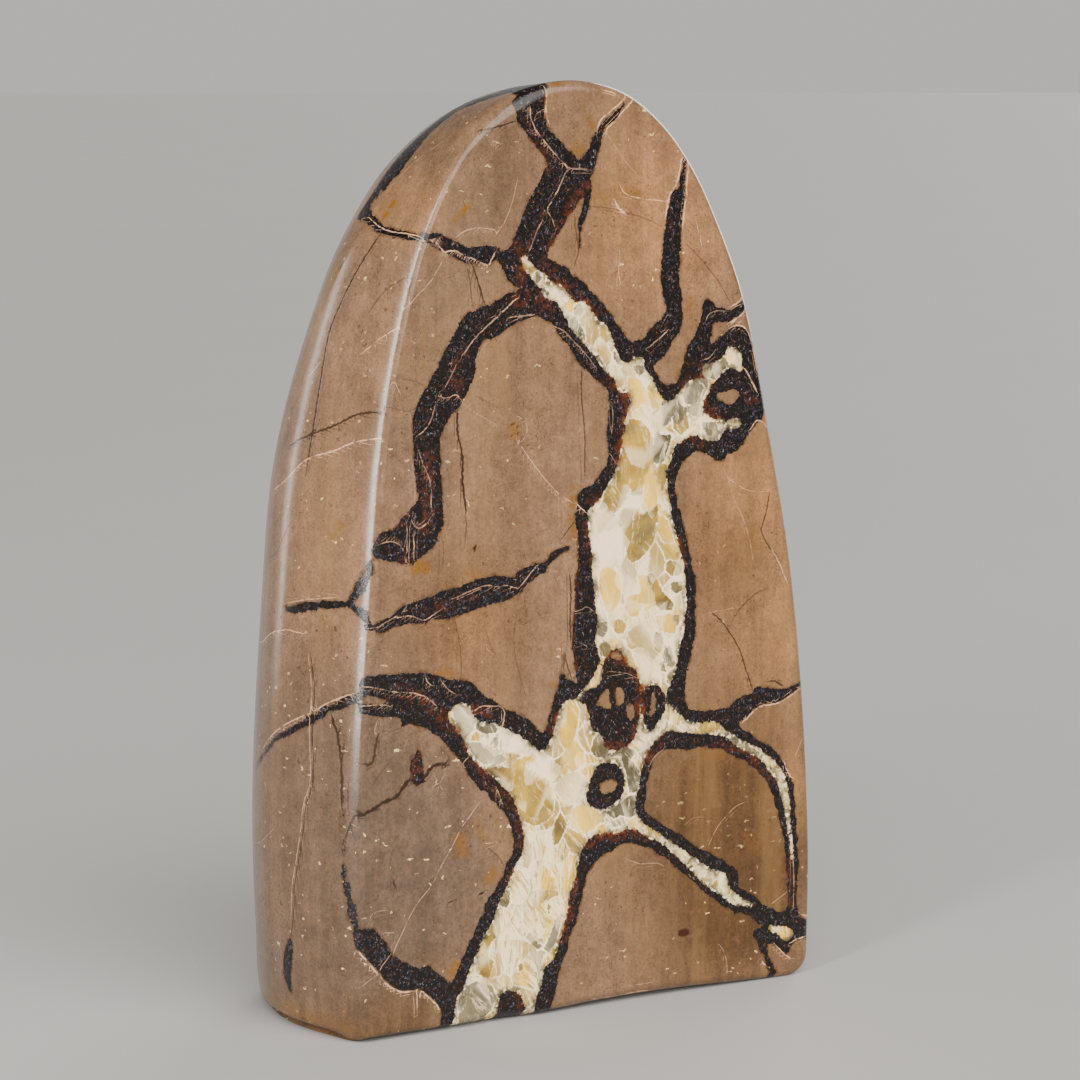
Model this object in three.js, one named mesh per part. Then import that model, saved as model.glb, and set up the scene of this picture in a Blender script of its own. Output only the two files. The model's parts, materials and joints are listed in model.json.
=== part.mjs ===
// Septarian nodule: a polished stone slab that stands on its flat cut base.
//
// Frame, in millimetres: +Z up, the polished front faces -Y, +X is to the right of someone who
// looks at the front. The origin is the middle of the footprint, on the ground.
//
// The stone is one closed skin. Its outline, seen from the front, is a pointed arch on a straight
// base. At every station of that outline one profile runs from the flat front over a rounded front
// edge, along a softly bulged band and over a wide back edge to the domed back.

import * as THREE from "three";

// ---- Driving dimensions ------------------------------------------------------------------------

const HEIGHT = 280;
const THICKNESS = 73;
const FRONT_Y = -THICKNESS / 2;
const BACK_Y = THICKNESS / 2;

// The arch from the left foot over the tip to the right foot, as [x, z].
const ARCH = [
  [-77.8, 3], [-78.3, 40], [-77.2, 80], [-73.3, 132], [-68.8, 180], [-61.5, 216], [-52.2, 243],
  [-41, 262], [-26, 274.8], [-6, HEIGHT], [13.4, 276.6], [26.6, 267.4], [36.6, 255], [46.6, 236.4],
  [55.9, 213.5], [64.6, 176], [73.3, 132.6], [78.7, 88], [81.6, 40], [81.4, 7],
];
const LEFT_FOOT_RADIUS = 3;
const RIGHT_FOOT_RADIUS = 7;

// Rounding of the front edge: slightly softer on the left side and at the tip.
const FRONT_EDGE = { plain: 2.2, left: 0.9, tip: 1.4 };

// Bulge of the side bands at half depth. It fades out over the shoulders.
const LEFT_BULGE = { foot: 9.6, waist: 12.2, shoulder: 8 };
const RIGHT_BULGE = { foot: 8.6, waist: 8.6, shoulder: 4.5 };
const BULGE_FADE = { from: 215, to: 273 };
const BULGE_SPAN = 0.97;

// Back edge: how deep and how far in its rounding reaches, at the foot and on the arch.
const BACK_EDGE_DEPTH = { foot: 8, side: 17, shoulder: 38 };
const BACK_EDGE_REACH = { foot: 8.8, side: 22 };

// The back is domed: it falls away to the sides, and towards the tip.
const BACK_SIDE_FALL = 2.2;
const BACK_TIP_FALL = 13;
const TIP_SLOPE = 7;

// Heights between which the stone changes from its foot to its waist, and on to its shoulders and tip.
const FOOT_ZONE = { from: 0, to: 30 };
const WAIST_ZONE = { from: 0, to: 70 };
const SHOULDER_ZONE = { from: 140, to: 245 };
const TIP_ZONE = { from: 245, to: HEIGHT };

// The upright middle line of the stone, towards which its rounded edges are drawn in.
const MIDDLE_LINE = { low: 62, high: 205, lean: 0.2 };

// The front lip of the base is lifted a little, widest right of the middle.
const BASE_LIP = { rise: 2.7, centre: 18, halfWidth: 60, depth: 12 };

// The left foot is rubbed round below the band.
const FOOT_WEAR = { depth: 0.8, reach: 9, from: 3, to: 16 };

// ---- Mesh density --------------------------------------------------------------------------------

const POINTS_PER_ARCH_SPAN = 4;
const BASE_STEPS = 14;
const FOOT_ARC_STEPS = { left: 3, right: 5 };
const FRONT_EDGE_STEPS = 3;
const BAND_STEPS = 9;
const BACK_EDGE_STEPS = 6;
const BACK_RINGS = [0.68, 0.36];

// ---- Helpers -------------------------------------------------------------------------------------

const { clamp, lerp, smoothstep } = THREE.MathUtils;
const zoneShare = (zone, z) => smoothstep(z, zone.from, zone.to);

/** The outline as stations with a place (x, z) and an outward direction (nx, nz), clockwise. */
function outlineStations() {
  const stations = [];

  const arch = new THREE.CatmullRomCurve3(
    ARCH.map(([x, z]) => new THREE.Vector3(x, 0, z)), false, "centripetal");
  const archSteps = (ARCH.length - 1) * POINTS_PER_ARCH_SPAN;
  for (let i = 0; i <= archSteps; i++) {
    const place = arch.getPoint(i / archSteps);
    const along = arch.getTangent(i / archSteps);
    stations.push({ x: place.x, z: place.z, nx: -along.z, nz: along.x });
  }

  const addFoot = (centreX, radius, fromAngle, toAngle, steps) => {
    for (let i = 1; i <= steps; i++) {
      const angle = lerp(fromAngle, toAngle, i / steps);
      const nx = Math.cos(angle);
      const nz = Math.sin(angle);
      stations.push({ x: centreX + radius * nx, z: Math.max(0, radius * (1 + nz)), nx, nz });
    }
  };
  const rightX = ARCH.at(-1)[0] - RIGHT_FOOT_RADIUS;
  const leftX = ARCH[0][0] + LEFT_FOOT_RADIUS;
  addFoot(rightX, RIGHT_FOOT_RADIUS, 0, -Math.PI / 2, FOOT_ARC_STEPS.right);
  for (let i = 1; i < BASE_STEPS; i++) {
    stations.push({ x: lerp(rightX, leftX, i / BASE_STEPS), z: 0, nx: 0, nz: -1 });
  }
  stations.push({ x: leftX, z: 0, nx: 0, nz: -1 });
  addFoot(leftX, LEFT_FOOT_RADIUS, -Math.PI / 2, -Math.PI, FOOT_ARC_STEPS.left);
  stations.pop();
  return stations;
}

/** Depth of the back face at a place on it. */
function backY(x, z) {
  return BACK_Y - BACK_SIDE_FALL * (x / ARCH.at(-1)[0]) ** 2 - BACK_TIP_FALL * smoothstep(z, 140, 275);
}

/** How far the side band bulges out at half depth. */
function sideBulge(x, z, onBase) {
  const size = x < 0 ? LEFT_BULGE : RIGHT_BULGE;
  const low = lerp(size.foot, size.waist, zoneShare(WAIST_ZONE, z));
  const full = lerp(low, size.shoulder, zoneShare(SHOULDER_ZONE, z));
  const kept = onBase ? smoothstep(Math.abs(x), 20, 74) : 1 - zoneShare(BULGE_FADE, z);
  return full * kept;
}

/** The sizes of the profile at one station of the outline. */
function profileSizes({ x, z, nx, nz }) {
  const onBase = z < 0.01;
  const frontEdge = FRONT_EDGE.plain
    + FRONT_EDGE.left * smoothstep(-x, 20, 60) * (1 - zoneShare(TIP_ZONE, z))
    + FRONT_EDGE.tip * zoneShare(TIP_ZONE, z);

  // The bulge pushes straight out of the side, and never down into the ground.
  const bulge = sideBulge(x, z, onBase);
  const bulgeX = onBase ? Math.sign(x) : nx;
  const bulgeZ = onBase ? 0 : Math.max(0, nz);

  // What is drawn in from the outline moves towards the middle line. `square` says how squarely.
  const toMiddle = new THREE.Vector2(
    (MIDDLE_LINE.lean - 1) * x, clamp(z, MIDDLE_LINE.low, MIDDLE_LINE.high) - z).normalize();
  const square = Math.max(0.6, -(toMiddle.x * nx + toMiddle.y * nz));

  const across = clamp((x - BASE_LIP.centre) / BASE_LIP.halfWidth, -1, 1);
  const lip = onBase ? BASE_LIP.rise * Math.cos((Math.PI / 2) * across) ** 2 : 0;
  const fromLeftFoot = Math.hypot(x - ARCH[0][0], z) / FOOT_WEAR.reach;
  const wear = FOOT_WEAR.depth * Math.exp(-(fromLeftFoot ** 2));

  const backDepth = lerp(BACK_EDGE_DEPTH.side, BACK_EDGE_DEPTH.shoulder, zoneShare(SHOULDER_ZONE, z));
  return {
    frontEdge, bulge, bulgeX, bulgeZ, toMiddle, square, lip, wear, onBase,
    tipSlope: TIP_SLOPE * zoneShare(TIP_ZONE, z),
    depth: backY(x, z) - FRONT_Y,
    backDepth: lerp(BACK_EDGE_DEPTH.foot, backDepth, zoneShare(FOOT_ZONE, z)),
    backReach: lerp(BACK_EDGE_REACH.foot, BACK_EDGE_REACH.side, zoneShare(FOOT_ZONE, z)),
  };
}

/** One point of a station's profile: `behind` the front face and `drawnIn` from the outline. */
function profilePoint(station, size, behind, drawnIn) {
  const out = size.bulge * Math.sin(Math.PI * Math.min(1, behind / (BULGE_SPAN * size.depth)));
  const lift = size.lip * (1 - Math.min(1, behind / BASE_LIP.depth)) ** 2;
  const wear = size.wear * zoneShare(FOOT_WEAR, behind);
  const fall = (size.tipSlope * behind) / THICKNESS;
  const x = station.x + size.toMiddle.x * drawnIn + size.bulgeX * out + wear;
  const z = station.z + size.toMiddle.y * drawnIn + size.bulgeZ * out + lift - fall
    + (size.onBase ? 0 : wear);
  return new THREE.Vector3(x, FRONT_Y + behind, Math.max(0, z));
}

/** All the points of one station, from the front face round to the back face. */
function stationPoints(station) {
  const size = profileSizes(station);
  const points = [];

  for (let i = 0; i <= FRONT_EDGE_STEPS; i++) {
    const turn = (Math.PI / 2) * (i / FRONT_EDGE_STEPS);
    const behind = size.frontEdge * (1 - Math.cos(turn));
    const drawnIn = (size.frontEdge * (1 - Math.sin(turn))) / size.square;
    points.push(profilePoint(station, size, behind, drawnIn));
  }
  const bandEnd = size.depth - size.backDepth;
  for (let i = 1; i <= BAND_STEPS; i++) {
    const behind = lerp(size.frontEdge, bandEnd, i / BAND_STEPS);
    points.push(profilePoint(station, size, behind, 0));
  }
  for (let i = 1; i <= BACK_EDGE_STEPS; i++) {
    const turn = (Math.PI / 2) * (i / BACK_EDGE_STEPS);
    const behind = bandEnd + size.backDepth * Math.sin(turn);
    const point = profilePoint(station, size, behind, size.backReach * (1 - Math.cos(turn)));
    point.y = backY(point.x, point.z) - size.backDepth * (1 - Math.sin(turn));
    points.push(point);
  }
  return points;
}

// ---- The stone -----------------------------------------------------------------------------------

/** One closed skin: rings of profile points, closed by a fan on the front and on the back. */
function stoneGeometry() {
  const columns = outlineStations().map(stationPoints);
  const middle = { x: 0, z: (MIDDLE_LINE.low + MIDDLE_LINE.high) / 2 };
  for (const column of columns) {
    const edge = column.at(-1).clone();
    for (const share of BACK_RINGS) {
      const x = lerp(middle.x, edge.x, share);
      const z = lerp(middle.z, edge.z, share);
      column.push(new THREE.Vector3(x, backY(x, z), z));
    }
  }

  const count = columns.length;
  const rings = columns[0].length;
  const points = [];
  for (let ring = 0; ring < rings; ring++) {
    for (const column of columns) {
      points.push(column[ring]);
    }
  }
  const frontMiddle = points.push(new THREE.Vector3(middle.x, FRONT_Y, middle.z)) - 1;
  const backMiddle = points.push(new THREE.Vector3(middle.x, backY(middle.x, middle.z), middle.z)) - 1;

  const faces = [];
  const last = (rings - 1) * count;
  for (let i = 0; i < count; i++) {
    const next = (i + 1) % count;
    faces.push(frontMiddle, next, i);
    for (let ring = 0; ring < rings - 1; ring++) {
      const near = ring * count;
      const far = near + count;
      faces.push(near + i, near + next, far + next);
      faces.push(near + i, far + next, far + i);
    }
    faces.push(backMiddle, last + i, last + next);
  }

  const geometry = new THREE.BufferGeometry();
  geometry.setAttribute("position", new THREE.Float32BufferAttribute(points.flatMap((p) => p.toArray()), 3));
  geometry.setIndex(faces);
  geometry.computeVertexNormals();
  return geometry;
}

const polishedRock = new THREE.MeshStandardMaterial({ color: 0xa9886f, roughness: 0.22, metalness: 0 });

const stone = new THREE.Mesh(stoneGeometry(), polishedRock);
stone.name = "septarian_stone";

const nodule = new THREE.Group();
nodule.add(stone);

export default nodule;
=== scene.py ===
"""A polished, free-standing septarian nodule on a pale studio floor.

The stone is one closed skin. Its pattern is worked out at every point of that skin from listed
outlines, bands and lines, all in millimetres, and is kept there as attributes that the stone's
material reads. The patterns of the front and the back are set in (x, z), those of the sides in
(depth behind the front, height), and that of the crown in (distance along the arch from the tip,
depth behind the front).
"""

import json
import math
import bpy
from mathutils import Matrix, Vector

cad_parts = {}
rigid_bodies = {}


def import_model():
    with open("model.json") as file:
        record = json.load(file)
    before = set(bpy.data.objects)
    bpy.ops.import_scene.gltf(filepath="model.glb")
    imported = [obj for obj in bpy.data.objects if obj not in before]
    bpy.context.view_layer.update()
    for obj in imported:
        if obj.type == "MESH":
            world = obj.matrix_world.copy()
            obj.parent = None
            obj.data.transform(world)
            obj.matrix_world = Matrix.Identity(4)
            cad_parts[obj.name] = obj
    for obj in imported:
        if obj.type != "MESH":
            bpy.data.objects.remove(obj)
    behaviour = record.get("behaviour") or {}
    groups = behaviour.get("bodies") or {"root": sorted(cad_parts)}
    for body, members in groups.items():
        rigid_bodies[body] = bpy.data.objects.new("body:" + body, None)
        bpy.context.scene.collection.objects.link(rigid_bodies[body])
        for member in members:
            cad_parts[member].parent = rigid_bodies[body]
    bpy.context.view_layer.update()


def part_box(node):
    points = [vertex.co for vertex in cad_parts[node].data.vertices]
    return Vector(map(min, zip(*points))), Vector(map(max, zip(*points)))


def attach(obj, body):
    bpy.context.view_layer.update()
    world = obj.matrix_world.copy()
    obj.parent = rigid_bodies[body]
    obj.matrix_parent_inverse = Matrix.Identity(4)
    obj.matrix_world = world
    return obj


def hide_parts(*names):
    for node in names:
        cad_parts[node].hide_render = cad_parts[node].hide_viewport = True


bl_info = {
    "name": "Septarian Nodule",
    "version": (1, 0, 0),
    "blender": (4, 5, 0),
    "location": "3D Viewport > Sidebar > Nodule",
    "description": "Makes a polished septarian slab with its veins and crystals, and a studio for it",
    "category": "Add Mesh",
}

import bpy
import numpy as np

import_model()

NODE = "septarian_stone"
MM = 0.001

# How far from an outline, from a crystal and from a thin line its field is kept, in mm, and what a
# thin line's field says beyond that, in half-widths of the line.
FAR = 8.0
CRYSTAL_REACH = 2.5
LINE_REACH = 3.0
OFF_LINE = 4.0
LINE_KINDS = ("pale", "dark", "inner")
BATCH = 16384  # places measured at a time, which keeps the arrays small

# ---- The stone's shape, in mm -------------------------------------------------------------------

low_corner, high_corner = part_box(NODE)
HEIGHT = 280.0
THICKNESS = (high_corner[1] - low_corner[1]) / MM
FRONT_Y = low_corner[1] / MM
BACK_Y = high_corner[1] / MM

# The arch from the left foot over the tip to the right foot, as (x, z).
ARCH = (
    (-77.8, 3), (-78.3, 40), (-77.2, 80), (-73.3, 132), (-68.8, 180), (-61.5, 216), (-52.2, 243),
    (-41, 262), (-26, 274.8), (-6, HEIGHT), (13.4, 276.6), (26.6, 267.4), (36.6, 255), (46.6, 236.4),
    (55.9, 213.5), (64.6, 176), (73.3, 132.6), (78.7, 88), (81.6, 40), (81.4, 7),
)
LEFT_FOOT_RADIUS = 3.0
RIGHT_FOOT_RADIUS = 7.0
FRONT_EDGE = {"plain": 2.2, "tip": 3.6}
LEFT_EDGE = {"radius": 10.5, "first_turn": 0.9, "zone": (12, 45)}
LEFT_BULGE = {"foot": 9.6, "waist": 12.2, "shoulder": 8.0}
RIGHT_BULGE = {"foot": 8.6, "waist": 8.6, "shoulder": 4.5}
BULGE_FADE = (220, 280)
BULGE_SPAN = 0.97
BASE_BULGE_ZONE = (20, 74)  # distances from the middle over which the base's ends take up the bulge
BACK_EDGE_DEPTH = {"foot": 8.0, "side": 17.0, "shoulder": 38.0}
BACK_EDGE_REACH = {"foot": 8.8, "side": 22.0}
BACK_SIDE_FALL = 2.2
BACK_TIP_FALL = 13.0
BACK_TIP_ZONE = (140, 275)
TIP_SLOPE = 5.5
FOOT_ZONE = (0, 30)
WAIST_ZONE = (0, 70)
SHOULDER_ZONE = (140, 245)
TIP_ZONE = (245, HEIGHT)
MIDDLE_LINE = {"low": 62, "high": 205, "lean": 0.2}
BASE_LIP = {"rise": 2.7, "centre": 18, "half_width": 60, "depth": 12}
FOOT_WEAR = {"depth": 0.8, "reach": 9, "zone": (3, 16)}

# A small shell-shaped chip at the left foot: its middle as depth behind the front and height, and
# ribs around a place on the front edge.
CHIP = {"behind": 9.0, "height": 3.0, "reach": 8.5, "depth": 0.9, "rib": 1.6, "rib_centre": 12.0}

# The mesh: cells across and up the front face, and rings from the front to the back.
CELLS_ACROSS = 138
CELLS_UP = 250
EDGE_RINGS = 5
BAND_RINGS = 46
BACK_EDGE_RINGS = 8
CROWN_CORNERS = (-54.0, 46.0)  # x of the two places on the arch between which the crown runs
FOOT_CORNERS = {"right_height": 1.2, "left_share": 0.8}  # where the side runs end on the feet's arcs
ON_BASE = 0.01  # the outline is on the base below this height
BACK_INSET = 0.985  # the back patch's rim, as a share of the way out from the middle

# How the charts of the pattern meet, in mm. A chart's depths are limited to a rise or a fall by so
# much a mm, from its start or towards its reach. The base shows the front's pattern folded under: what
# is found higher by the rise and to the side by the lean, for each mm behind the front.
FRONT_CHART = {"reach": 6.0, "fall": 4.0}
BASE_CHART = {"lean": 0.12, "start": 2.4, "rise": 0.55, "fall": 1.5}
BAND_CHART = {"start": -1.0, "rise": 2.0, "edge": 1.2, "reach": 14.0, "shared": 4.0}
CROWN_REACH = 72.0  # along the arch, to both sides of the tip
BACK_CHART = {"start": -4.0, "base_start": -1.0, "rise": 1.5, "edge": 2.0, "uneven": 1.3}

# ---- Readers of the pattern's tables ---------------------------------------------------------------


def table(text):
    """The rows of a table written as text: each row's head, as words, and its points in mm.

    Rows part at semicolons. The head ends at a colon, and its points part at commas.
    """
    rows = [row.split(":") for row in text.split(";")]
    return [(head.split(), [tuple(map(float, point.split())) for point in points.split(",")])
            for head, points in rows]


def outlines(text):
    """Closed outlines: a row is a name and the points round it."""
    return [points for _, points in table(text)]


def crystal_outlines(text):
    """Crystals: a row is a kind and the points round one crystal."""
    return [(kind, points) for (kind,), points in table(text)]


def marks(text):
    """Lines and soft patches: a row is a half-width or radius, a strength, and points."""
    return [(float(wide), float(strength), points) for (wide, strength), points in table(text)]


def bands(text):
    """Bands: a row is a half-width at each of its points, and the points."""
    return [(list(map(float, wide)), points) for wide, points in table(text)]


def crystal_bands(text):
    """Short bands of one crystal each: a row is a kind, half-widths and points."""
    return [(kind, list(map(float, wide)), points) for (kind, *wide), points in table(text)]


def tints(text):
    """Round tints: a row is a kind, a radius, a strength and the middle."""
    return [(kind, float(radius), float(strength), points[0])
            for (kind, radius, strength), points in table(text)]


# ---- The front's pattern, in (x, z) ---------------------------------------------------------------

# Veins.
VEINS = outlines("""
crown band: -24.3 286, -24 270, -23.4 267.5, -20 264, -17 260, -14 256.5, -13 254.5, -10 251, 0.5 250,
 2 254, -0.8 256.8, -2.5 256.4, -4 257.2, -8 261, -11 264, -14 267, -14.8 270, -15 286;
crown spur: -2.5 256.4, -0.5 258.6, 1 261, 2.4 263.8, 3.9 265.6, 5.3 267.9, 8 269.8, 11 271.8, 13.6 274,
 13 272.3, 10.5 270, 9.2 268, 6.6 266.5, 5.3 264.4, 4.8 261, 3.5 258, 2.2 254.5, 0 253;
twin band: -13 255.5, -15 253, -17 250, -19 247, -20.5 244, -22 240.5, -24 237, -25.5 233.5, -27 230,
 -27 222, -20 219, -13.5 228, -12.8 231, -10.5 234.5, -8 238, -6 240.8, -4 243, -2 245.5, 0 247.8, 1 250.5,
 1 254, -5 256;
thorn: 0 253, 2 254.5, 1.3 251, 1 247, 0.7 244, 0 241, -1 238.5, -2 236, -2.4 233, -2.6 230.5, -3 233,
 -3.2 236, -3 239.5, -2 242, -1.3 245, -0.8 249;
upper cross vein: -60 237.4, -55 236.5, -50 236.2, -47 234.9, -44.5 234.5, -41.5 232.6, -38 232, -34 232.5,
 -31 232, -28.5 230.8, -26.5 231.5, -22 221, -24 221.3, -26.5 223.2, -29 226.2, -31 228.3, -33.2 226.4,
 -36 226.9, -40 227.5, -43 228.3, -47 230.4, -50 231.9, -53 233.5, -56 234.3, -60 235.2;
loop: -20 219, -25 219, -28 217.6, -31 216.6, -34 215, -38 214, -41 213, -43 211, -44 209, -45.5 206,
 -47 203.5, -49 200, -51 197, -53 194, -55 190.5, -57 187, -58 184, -58.6 180, -58.6 176, -58 172,
 -57.8 168, -57.3 164, -57 160.5, -58 158.5, -59.5 157.5, -59.5 155, -61 155.2, -62.5 154.6, -64.5 152,
 -67 151.2, -69 151, -70.5 149.5, -71.2 147, -71.5 143.3, -69 143.2, -66 142.8, -63 142, -61 141.2,
 -59 141.2, -57 142.4, -55 143.4, -53 145, -51 146.6, -50 149, -48.6 151, -48.6 156, -48.8 160, -49 165,
 -49.5 170, -49.8 175, -49.5 178, -48.5 180, -47 182, -45.5 184, -43.5 185.6, -42 187.5, -41 189.5,
 -39.5 191.5, -38.5 194.5, -38 198, -37 202.3, -35.3 204.8, -33 205, -31 205.8, -28 207.5, -25 209.3,
 -22 210.6, -18 211.3, -15 210.8, -10 215;
body: -22 222, -13.5 228.5, -10 226.6, -7 225, -5 223, -2 221, 0 219.5, 3 216.5, 6 213.7, 8 211.3, 10 208.6,
 12 206, 13.5 203.7, 15 202.6, 22.3 195.2, 24 192.5, 26 190.3, 28 189.2, 31 189.4, 34 186, 34 176, 37 168.3,
 35 167, 33.5 165, 32 162, 31.2 160, 31 157, 31.5 154, 32.5 151, 33.5 148, 34.5 145, 35.2 142, 36 138,
 37 134, 38 130, 38.3 126, 38.5 122, 38.5 118, 38.3 114, 38 110, 37 106, 36 102, 35.5 98, 35.1 95, 35.3 92,
 36 90, 37 84, 26 77, 24 75, 22.5 72, 21.5 68, 21 64, 20.5 60, 21 58, 18 53, 2 45, 1 43, 0 41, -1 38, -2 34,
 -3 30, -4 27, -5 25, -6 22, -7 19, -8 16, -9.5 12, -11 7, -12 2.3, -12 -6, -50.5 -6, -50 1, -50 5, -49.5 9,
 -48 14, -47 14.6, -45.5 16, -44.5 18, -43 20.3, -42 23, -40 27, -38 31, -36 34, -35 36.8, -33 39.4,
 -30.6 42.5, -29 45, -28 48, -26 51, -25.3 53.5, -25.4 56, -26 58.5, -26.3 61.3, -28 64, -30 65.7, -32 67.6,
 -34 70.4, -37 72.6, -39 75, -41 78, -43 81.5, -45 84, -45 95, -30 92, -20 86, -10 90, -5 96, -3 100.7,
 -3.7 104, -4.2 107, -4.8 110, -5 113, -5 116, -4.9 119, -4.5 122, -4.4 126, -4 130, -3.8 133, -3.3 137,
 -3 140, -3 146, -3.8 149, -3.8 152, -3.4 154, -3.3 156, -2.5 158, -1 159.6, 1 160.2, 3 161.6, 5 163.6,
 6 165.6, 7 167, 7.5 169, 7.4 172, 7 176, 7.2 180, 7.4 184, 7.3 188, 5 190.2, 3 192, 0 194.6, -2 196,
 -4 199, -7 203, -10 206, -12 208.6, -15 210.8, -17 211.3, -20 213;
right branch: 33.3 256.5, 32.7 253, 31.8 250.5, 31.3 248, 30 247, 29 245, 28.3 242.5, 27.6 240, 27 236,
 26.5 232, 25.8 228, 25.4 224, 25.5 221, 26 218, 27 214, 27.2 211.5, 26.3 209.3, 24 208, 22 206, 20 204,
 17 202.9, 14.5 202.8, 8 205, 4 200, 14 190, 22.5 194.8, 24 196, 26 197.5, 28 199.5, 30 202.2, 31.5 203.6,
 32.5 205, 33.2 207, 33.2 210, 33 214, 32.5 218, 32 222, 32.2 226, 32.5 230, 32.6 234, 32.8 238, 33.2 242,
 33.8 244.5, 33.6 248, 34 252, 34.3 256.5;
right cluster: 31 189.4, 31.6 190.6, 32.5 193, 33.5 195, 34 197, 35 199.5, 36.5 201.6, 38 204, 39 207,
 40 210, 40.3 212.5, 41 213.8, 43 214.2, 44.6 213, 45.5 211.8, 48 211.5, 50 211.2, 52 211.5, 54 213, 60 217,
 62 211.5, 55.8 210.3, 53 208.8, 50.5 207.3, 50.3 205.3, 54 205.6, 56.5 204.3, 57.8 201.5, 58.8 198,
 59.8 194.5, 60.8 191, 62.5 188, 64 184, 64.4 180.5, 62.3 177.5, 60.5 176, 59 174, 57.5 172, 55.5 170,
 54 168.4, 52 167.4, 50 166.8, 49 165.4, 47 164.9, 45.3 165.6, 43 167, 40 167.9, 37 168.3, 35 167, 30 168,
 28 180;
right ring: 28 92, 35.1 92, 36 90, 37 89.2, 40 88.5, 44 88.2, 48 88, 51 88.6, 54 90.4, 56 91.4, 59 92,
 60.5 93.3, 62 94, 64 93.6, 67 92.8, 70 92.3, 73 92.7, 76 93.4, 84 93.6, 84 92.3, 77.5 92.2, 75 91, 72 89.4,
 69 88.4, 66 88, 63 88, 60 86.6, 58 85.2, 56 84.3, 54.6 82.7, 57 80.6, 60 78.5, 63 76.2, 66 74.6, 68 73,
 70 71, 72 68, 73.5 65, 75 62, 75.6 58, 76 55, 76.4 50, 76.8 45, 77.2 40, 77.3 35, 77.2 30, 77 26, 77 22.5,
 77.5 20, 79 18.7, 80.5 17.9, 88 16.5, 88 10.8, 80 11.2, 77 11.2, 75.3 10.3, 74.3 8.8, 73.4 7.4, 72 8.3,
 70 9.8, 68.3 11.6, 67 12.2, 66 11.2, 66.2 9, 67.3 6, 68.6 4, 69.6 2, 69.8 -6, 66.5 -6, 67 1, 66.5 3,
 65.3 6, 64.5 8, 63.5 10, 62 13, 60.6 15.2, 60.8 16.6, 62 17.3, 63.8 17.6, 61 20, 58 21.8, 55 23, 54 22.6,
 52 24.4, 49 26.2, 46 28.6, 43 31, 40 33.5, 37 36, 34 38.6, 32 40.2, 30 42, 28 43.6, 25 45.6, 22 47.8,
 20 48.2, 17 49.6, 14 50, 10 49.8, 7 49.7, 5 49, 3 47, 1 43, -4 45, -2 56, 16 62, 18 80;
left wedge: -84 109, -77 108.8, -75 109, -70 109.6, -65 109.2, -60 108.8, -56 109, -52 108, -48 106.5,
 -44 105.6, -40 104.5, -37 102.2, -34 99.6, -31 97.6, -28 95.5, -25 94.1, -22 92.5, -19 90.2, -17 88.2,
 -15.4 86, -14.6 83, -10 80, -20 70, -39 75, -41 78, -43 81.5, -45 84, -48 86.8, -50 88.8, -52 90.6,
 -55 92.6, -58 93.7, -61 94.2, -62.3 93, -63.2 93.4, -62.6 95.6, -66 96.8, -70 97.1, -75 98, -84 98.5;
tusk: -16 80, -14.6 84, -14 88, -13 92, -12 95, -11 98, -10 101, -9.2 104.4, -7 102.8, -5 101.8, -3 100.6,
 2 100, 0 95, -5 80;
middle cross vein: -82 124.3, -73.5 124.6, -70 124.9, -67 126, -64 127.6, -61 129.3, -58 130, -55 130.6,
 -51 131.7, -47 132.6, -43 133.5, -40 134, -37 135, -34 135.6, -31 135.7, -28 135, -25 134.6, -22.5 136.8,
 -20 137.8, -17 138, -15 138.6, -12.5 140.5, -10 142, -6 142.2, -9 140.4, -11 139, -13 137, -15 135,
 -17 134.4, -20 132.4, -23 130, -25 128.5, -28 128, -32 127.4, -36 126.5, -40 125.4, -44 124.5, -48 124.2,
 -52 124.3, -55 123.4, -57 123.8, -60 124, -64 123, -67 122.3, -70 122, -73.5 122.6, -82 122.6;
low cross vein: -84 46, -80.5 41, -79 36.8, -77 34.8, -73 34.6, -71 33, -69 30.6, -67 28, -65 25.2,
 -62 22.6, -59 21, -56 20.8, -54 20.9, -52 19, -50 17.5, -48.5 16, -47 14.4, -45 9, -49.5 5, -50 7, -51 9,
 -53 11, -55 12.5, -56 13.7, -59 14.2, -62 14.5, -65 15.6, -67 17, -69 19, -71 21.6, -73 24, -75 26.6,
 -77 29, -79.5 31.5, -84 36;
rust pocket: -59.6 78, -59.9 82, -59.2 85.4, -58.6 83.4, -57.6 85.9, -56.2 84.4, -55.6 80, -55.2 76.8,
 -56.4 75.4, -58 75.6, -59.2 76.4
""")
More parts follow.
